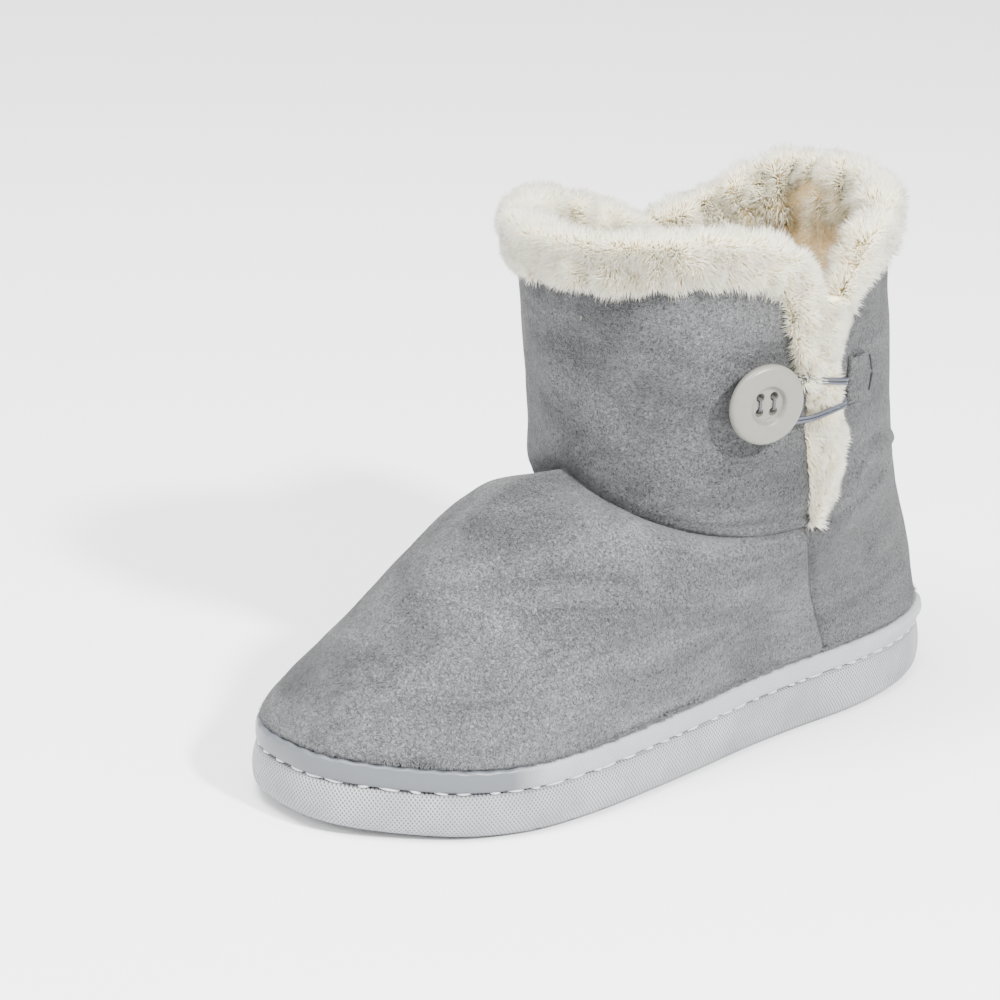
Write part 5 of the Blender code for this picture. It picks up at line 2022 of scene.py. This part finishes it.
@dataclass
class Studio:
    """The floor, the light and the camera.

    The camera's place and length were fitted to the photo's frame of frame_pixels, and principal is where the
    fitted axis meets it, from its middle. A lamp is a name, a direction, a size and a power in watts.
    """

    azimuth: float = 47.22
    elevation: float = 18.81
    roll: float = 2.86
    distance: float = 1.2
    focal_pixels: float = 3715.34
    frame_pixels: float = 1000.0
    principal: tuple[float, float] = (120.84, -1.85)
    target: Place = (0.0, 0.0, 0.08)
    sky: float = 1.65
    floor_half: float = 4.0
    floor_tone: Colour = (0.90, 0.90, 0.905, 1)
    lamps: tuple[tuple[str, Place, float, float], ...] = (
        ("overhead", (0.1, -0.6, 1.7), 0.9, 70),
        ("key", (1.45, 0.05, 1.20), 0.16, 100),
        ("fill", (-0.2, -1.7, 0.8), 0.8, 22),
    )

    def camera(self) -> None:
        """Sets the camera where the photo was taken, turned so that the frame's middle is its axis."""
        a, e, r = (math.radians(x) for x in (self.azimuth, self.elevation, self.roll))
        back = Vector((math.sin(a) * math.cos(e), -math.cos(a) * math.cos(e), math.sin(e)))
        right = Vector((math.cos(a), math.sin(a), 0))
        up = back.cross(right)
        right, up = right * math.cos(r) + up * math.sin(r), up * math.cos(r) - right * math.sin(r)
        place = Vector(self.target) + Vector(SHIFT) + back * self.distance
        aside, down = (offset / self.focal_pixels for offset in self.principal)
        back = -(-back - right * aside + up * down).normalized()
        up = (up - back * up.dot(back)).normalized()
        right = up.cross(back)
        data = bpy.data.cameras.new("camera")
        data.sensor_width = 36.0
        data.lens = self.focal_pixels / self.frame_pixels * data.sensor_width
        data.clip_start, data.clip_end = 0.05, 20.0
        made = bpy.data.objects.new("camera", data)
        made.matrix_world = Matrix.Translation(place) @ Matrix((right, up, back)).transposed().to_4x4()
        bpy.context.scene.collection.objects.link(made)
        bpy.context.scene.camera = made

    def light(self, name: str, direction: Place, size: float, power: float) -> None:
        """Adds a soft square light that faces the shoe.

        Args:
            name: the light's name.
            direction: where it stands, as seen from the shoe.
            size: its edge.
            power: its power in watts.
        """
        data = bpy.data.lights.new(name, "AREA")
        data.shape, data.size, data.energy = "SQUARE", size, power
        made = bpy.data.objects.new(name, data)
        place = Vector(direction)
        made.location = place + Vector(self.target)
        made.rotation_mode = "QUATERNION"
        made.rotation_quaternion = place.to_track_quat("Z", "Y")
        bpy.context.scene.collection.objects.link(made)

    def build(self) -> None:
        """Lays the floor and sets the lights, the sky and the camera."""
        finish, nodes, shader = plain_material("pale floor", 0.9)
        nodes.give(shader, {"Base Color": self.floor_tone})
        mesh = bpy.data.meshes.new("floor")
        half = self.floor_half
        corners = [(-half, -half, 0), (half, -half, 0), (half, half, 0), (-half, half, 0)]
        mesh.from_pydata(corners, [], [(0, 1, 2, 3)])
        mesh.materials.append(finish)
        floor = bpy.data.objects.new("floor", mesh)
        bpy.context.scene.collection.objects.link(floor)
        world = bpy.data.worlds.new("studio")
        world.use_nodes = True
        background = world.node_tree.nodes["Background"]
        Nodes(world.node_tree).give(background, {"Color": (1.0, 1.0, 1.0, 1), "Strength": self.sky})
        bpy.context.scene.world = world
        for lamp in self.lamps:
            self.light(*lamp)
        self.camera()


def cad_shift(last: Last) -> Array:
    """How far the solids stand from the shoe's own axes: the box of the sole against its plan.

    Args:
        last: the last whose plan the sole follows.

    Returns:
        The shift, on the floor.
    """
    low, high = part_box("outsole")
    plan = last.plan(400, -Sole.bulge)
    middle = (plan.min(axis=0) + plan.max(axis=0)) / 2
    return np.array([(low.x + high.x) / 2 - middle[0], (low.y + high.y) / 2 - middle[1], 0.0])


SHIFT = cad_shift(Last())

# A crease is a line, a width, a height and how fast it fades at its ends.
SHAFT_CREASES = (
    Crease(((0.003, -0.031, 0.152), (0.008, -0.029, 0.136), (0.016, -0.025, 0.122), (0.028, -0.018, 0.113)),
           0.0085, -0.0017),
    Crease(((-0.026, -0.022, 0.134), (-0.021, -0.023, 0.118), (-0.017, -0.022, 0.102)), 0.0070, -0.0014),
    Crease(((0.016, -0.024, 0.106), (0.040, -0.002, 0.097), (0.048, 0.030, 0.091)), 0.0060, 0.0011),
    Crease(((0.033, -0.014, 0.130), (0.045, 0.006, 0.117), (0.049, 0.026, 0.106)), 0.0080, -0.0009),
    Crease(((0.0451, 0.0560, 0.0895), (0.0436, 0.0646, 0.0925), (0.0399, 0.0751, 0.0945),
            (0.0300, 0.0860, 0.0965)), 0.0030, 0.0026, 0.15),
    Crease(((0.0455, 0.0550, 0.0935), (0.0436, 0.0646, 0.0962), (0.0399, 0.0751, 0.0985),
            (0.0300, 0.0860, 0.1005)), 0.0018, -0.0018, 0.15),
    Crease(((-0.0465, 0.0385, 0.0760), (-0.0480, 0.0410, 0.1100), (-0.0490, 0.0430, 0.1550)),
           0.0011, -0.0010, 0.02),
    Crease(((0.047, 0.053, 0.139), (0.043, 0.068, 0.120)), 0.0060, -0.0012),
    Crease(((-0.047, 0.010, 0.140), (-0.048, 0.030, 0.118), (-0.046, 0.052, 0.100)), 0.0090, -0.0016),
    Crease(((-0.040, 0.075, 0.125), (-0.020, 0.094, 0.112), (0.010, 0.098, 0.108)), 0.0080, -0.0014),
    Crease(((-0.030, -0.015, 0.112), (-0.044, 0.006, 0.100), (-0.047, 0.030, 0.092)), 0.0060, 0.0011),
)
FOOT_CREASES = (
    Crease(((0.0462, 0.0378, 0.0740), (0.0443, 0.0420, 0.0640), (0.0412, 0.0466, 0.0548),
            (0.0387, 0.0512, 0.0460), (0.0371, 0.0556, 0.0375), (0.0355, 0.0620, 0.0250)),
           0.0013, -0.0012, 0.02),
    Crease(((-0.0440, 0.0378, 0.0740), (-0.0430, 0.0420, 0.0640), (-0.0410, 0.0466, 0.0548),
            (-0.0390, 0.0512, 0.0460), (-0.0375, 0.0556, 0.0375), (-0.0360, 0.0620, 0.0250)),
           0.0013, -0.0012, 0.02),
    Crease(((0.016, -0.026, 0.087), (0.036, -0.017, 0.079), (0.047, 0.006, 0.071)), 0.0038, 0.0012),
    Crease(((0.028, -0.049, 0.077), (0.043, -0.037, 0.066), (0.048, -0.007, 0.053)), 0.0100, -0.0013),
    Crease(((-0.002, -0.082, 0.068), (0.021, -0.083, 0.056), (0.041, -0.083, 0.036)), 0.0140, -0.0014),
    Crease(((0.000, -0.062, 0.084), (0.016, -0.063, 0.076), (0.033, -0.053, 0.069)), 0.0070, 0.0008),
    Crease(((-0.022, -0.045, 0.080), (-0.036, -0.030, 0.066), (-0.043, -0.004, 0.055)), 0.0090, -0.0015),
    Crease(((0.047, 0.070, 0.070), (0.045, 0.085, 0.055)), 0.0080, -0.0012),
)

# An area of painted light and shade, partly brushed nap, is its middle, its reach and its tone.
FOOT_LIGHT_SHADE_AND_NAP = (
    (0.042, -0.052, 0.050, 0.034, 1.26),
    (0.036, -0.022, 0.080, 0.014, 1.22),
    (0.046, 0.008, 0.042, 0.020, 1.14),
    (-0.014, -0.119, 0.037, 0.026, 0.80),
    (0.008, -0.087, 0.061, 0.017, 0.84),
    (0.030, -0.104, 0.030, 0.016, 0.88),
    (0.046, -0.008, 0.067, 0.016, 0.84),
    (0.035, 0.086, 0.070, 0.024, 0.84),
    (0.035, 0.078, 0.036, 0.016, 0.88),
)
SHAFT_LIGHT_SHADE_AND_NAP = (
    (0.030, 0.088, 0.120, 0.052, 0.72),
    (0.000, 0.104, 0.100, 0.050, 0.80),
    (-0.030, 0.088, 0.120, 0.052, 0.76),
    (0.012, -0.028, 0.145, 0.020, 0.88),
    (0.036, -0.010, 0.138, 0.018, 1.10),
)


@dataclass(frozen=True)
class Finishes:
    """Every material of the shoe."""

    foot: Material
    shaft: Material
    tab: Material
    fleece: Material
    fleece_base: Material
    lining: Material
    nap: Material
    rubber: Material
    trim: Material
    button: Material
    button_thread: Material
    welt_thread: Material
    elastic: Material
    tab_thread: Material


def shoe_finishes() -> Finishes:
    """Builds the shared groups and every material with its own values.

    Returns:
        The materials.
    """
    nap, weave = nap_group(), weave_group()
    # Painted shade: the lining's tan stands for the shade deep inside the shoe, and the base under the fibres
    # takes the roots' darker colour.
    backing = Fleece("fleece backing with painted shade", (0.58, 0.42, 0.23, 1), (0.88, 0.75, 0.52, 1), hairs=False)
    base = Fleece("fleece base with painted shade", (0.86, 0.70, 0.43, 1), (0.95, 0.86, 0.62, 1), hairs=False)
    sole = WovenRubber("sole rubber", (0.400, 0.408, 0.420, 1), (0.120, 0.124, 0.133, 1), depth=0.0008)
    trim = WovenRubber("trim", (0.380, 0.388, 0.400, 1), (0.230, 0.235, 0.246, 1), turns=5600.0, depth=0.0004,
                       smooth_toe=-0.075)
    resin = Plain("button shell", (0.138, 0.136, 0.116, 1), 0.40, grain=300.0, depth=0.00003, spread=0.03)
    return Finishes(
        foot=Suede(panel=0.74, brushed=FOOT_LIGHT_SHADE_AND_NAP).make(nap),
        # The shaft's suede is a darker copy of the foot's, painted shade on the upright cloth. The tab's
        # darker copy is painted shade that sets the patch off the shaft.
        shaft=Suede(name="shaft suede with painted shade", shade=0.88, brushed=SHAFT_LIGHT_SHADE_AND_NAP).make(nap),
        tab=Suede(name="tab suede with painted shade", shade=0.70).make(nap),
        fleece=Fleece().make(),
        fleece_base=base.make(),
        lining=backing.make(),
        nap=Fleece("nap fibres", (0.10, 0.102, 0.105, 1), (0.20, 0.203, 0.208, 1), glow=0.0).make(),
        rubber=sole.make(weave),
        trim=trim.make(weave),
        button=resin.make(),
        button_thread=Plain("grey thread", (0.075, 0.078, 0.085, 1), 0.7, ribs=9000.0, spread=0.15).make(),
        welt_thread=Plain("welt thread", (0.44, 0.45, 0.46, 1), 0.7, ribs=9000.0, spread=0.15).make(),
        elastic=Plain("blue-grey elastic", (0.034, 0.039, 0.054, 1), 0.32, ribs=7000.0, spread=0.3).make(),
        tab_thread=Plain("dark thread", (0.012, 0.012, 0.015, 1), 0.8, ribs=9000.0, spread=0.1).make(),
    )


def main() -> None:
    """Builds the shoe, piece by piece, then its studio."""
    logging.basicConfig(level=logging.INFO, format="%(message)s")
    finishes = shoe_finishes()
    last, shaft = Last(), Shaft()
    foot = Foot(last, shaft)
    pile = Pile(finishes.fleece)
    Sole(last).build(finishes.rubber)
    band = Band(last)
    band.build(finishes.trim)
    band.stitches(finishes.welt_thread)
    foot.build(finishes.foot, FOOT_CREASES)
    Fringe(foot, Pile(finishes.nap, width=0.00034, clump=0.003, lean=0.35, stray=0.4)).build()
    shaft.build(finishes.shaft, SHAFT_CREASES)
    lining = Lining(foot, shaft, finishes.lining)
    lining.build()
    lining.footbed()
    Cuff(shaft, pile, finishes.fleece_base).build()
    SlitFleece(shaft, pile, finishes.fleece_base).build()
    fastening = Fastening(shaft)
    fastening.button(finishes.button)
    fastening.threads(finishes.button_thread)
    fastening.loop(finishes.elastic)
    fastening.tab(finishes.tab, finishes.tab_thread)
    Studio().build()


if __name__ == "__main__":
    main()
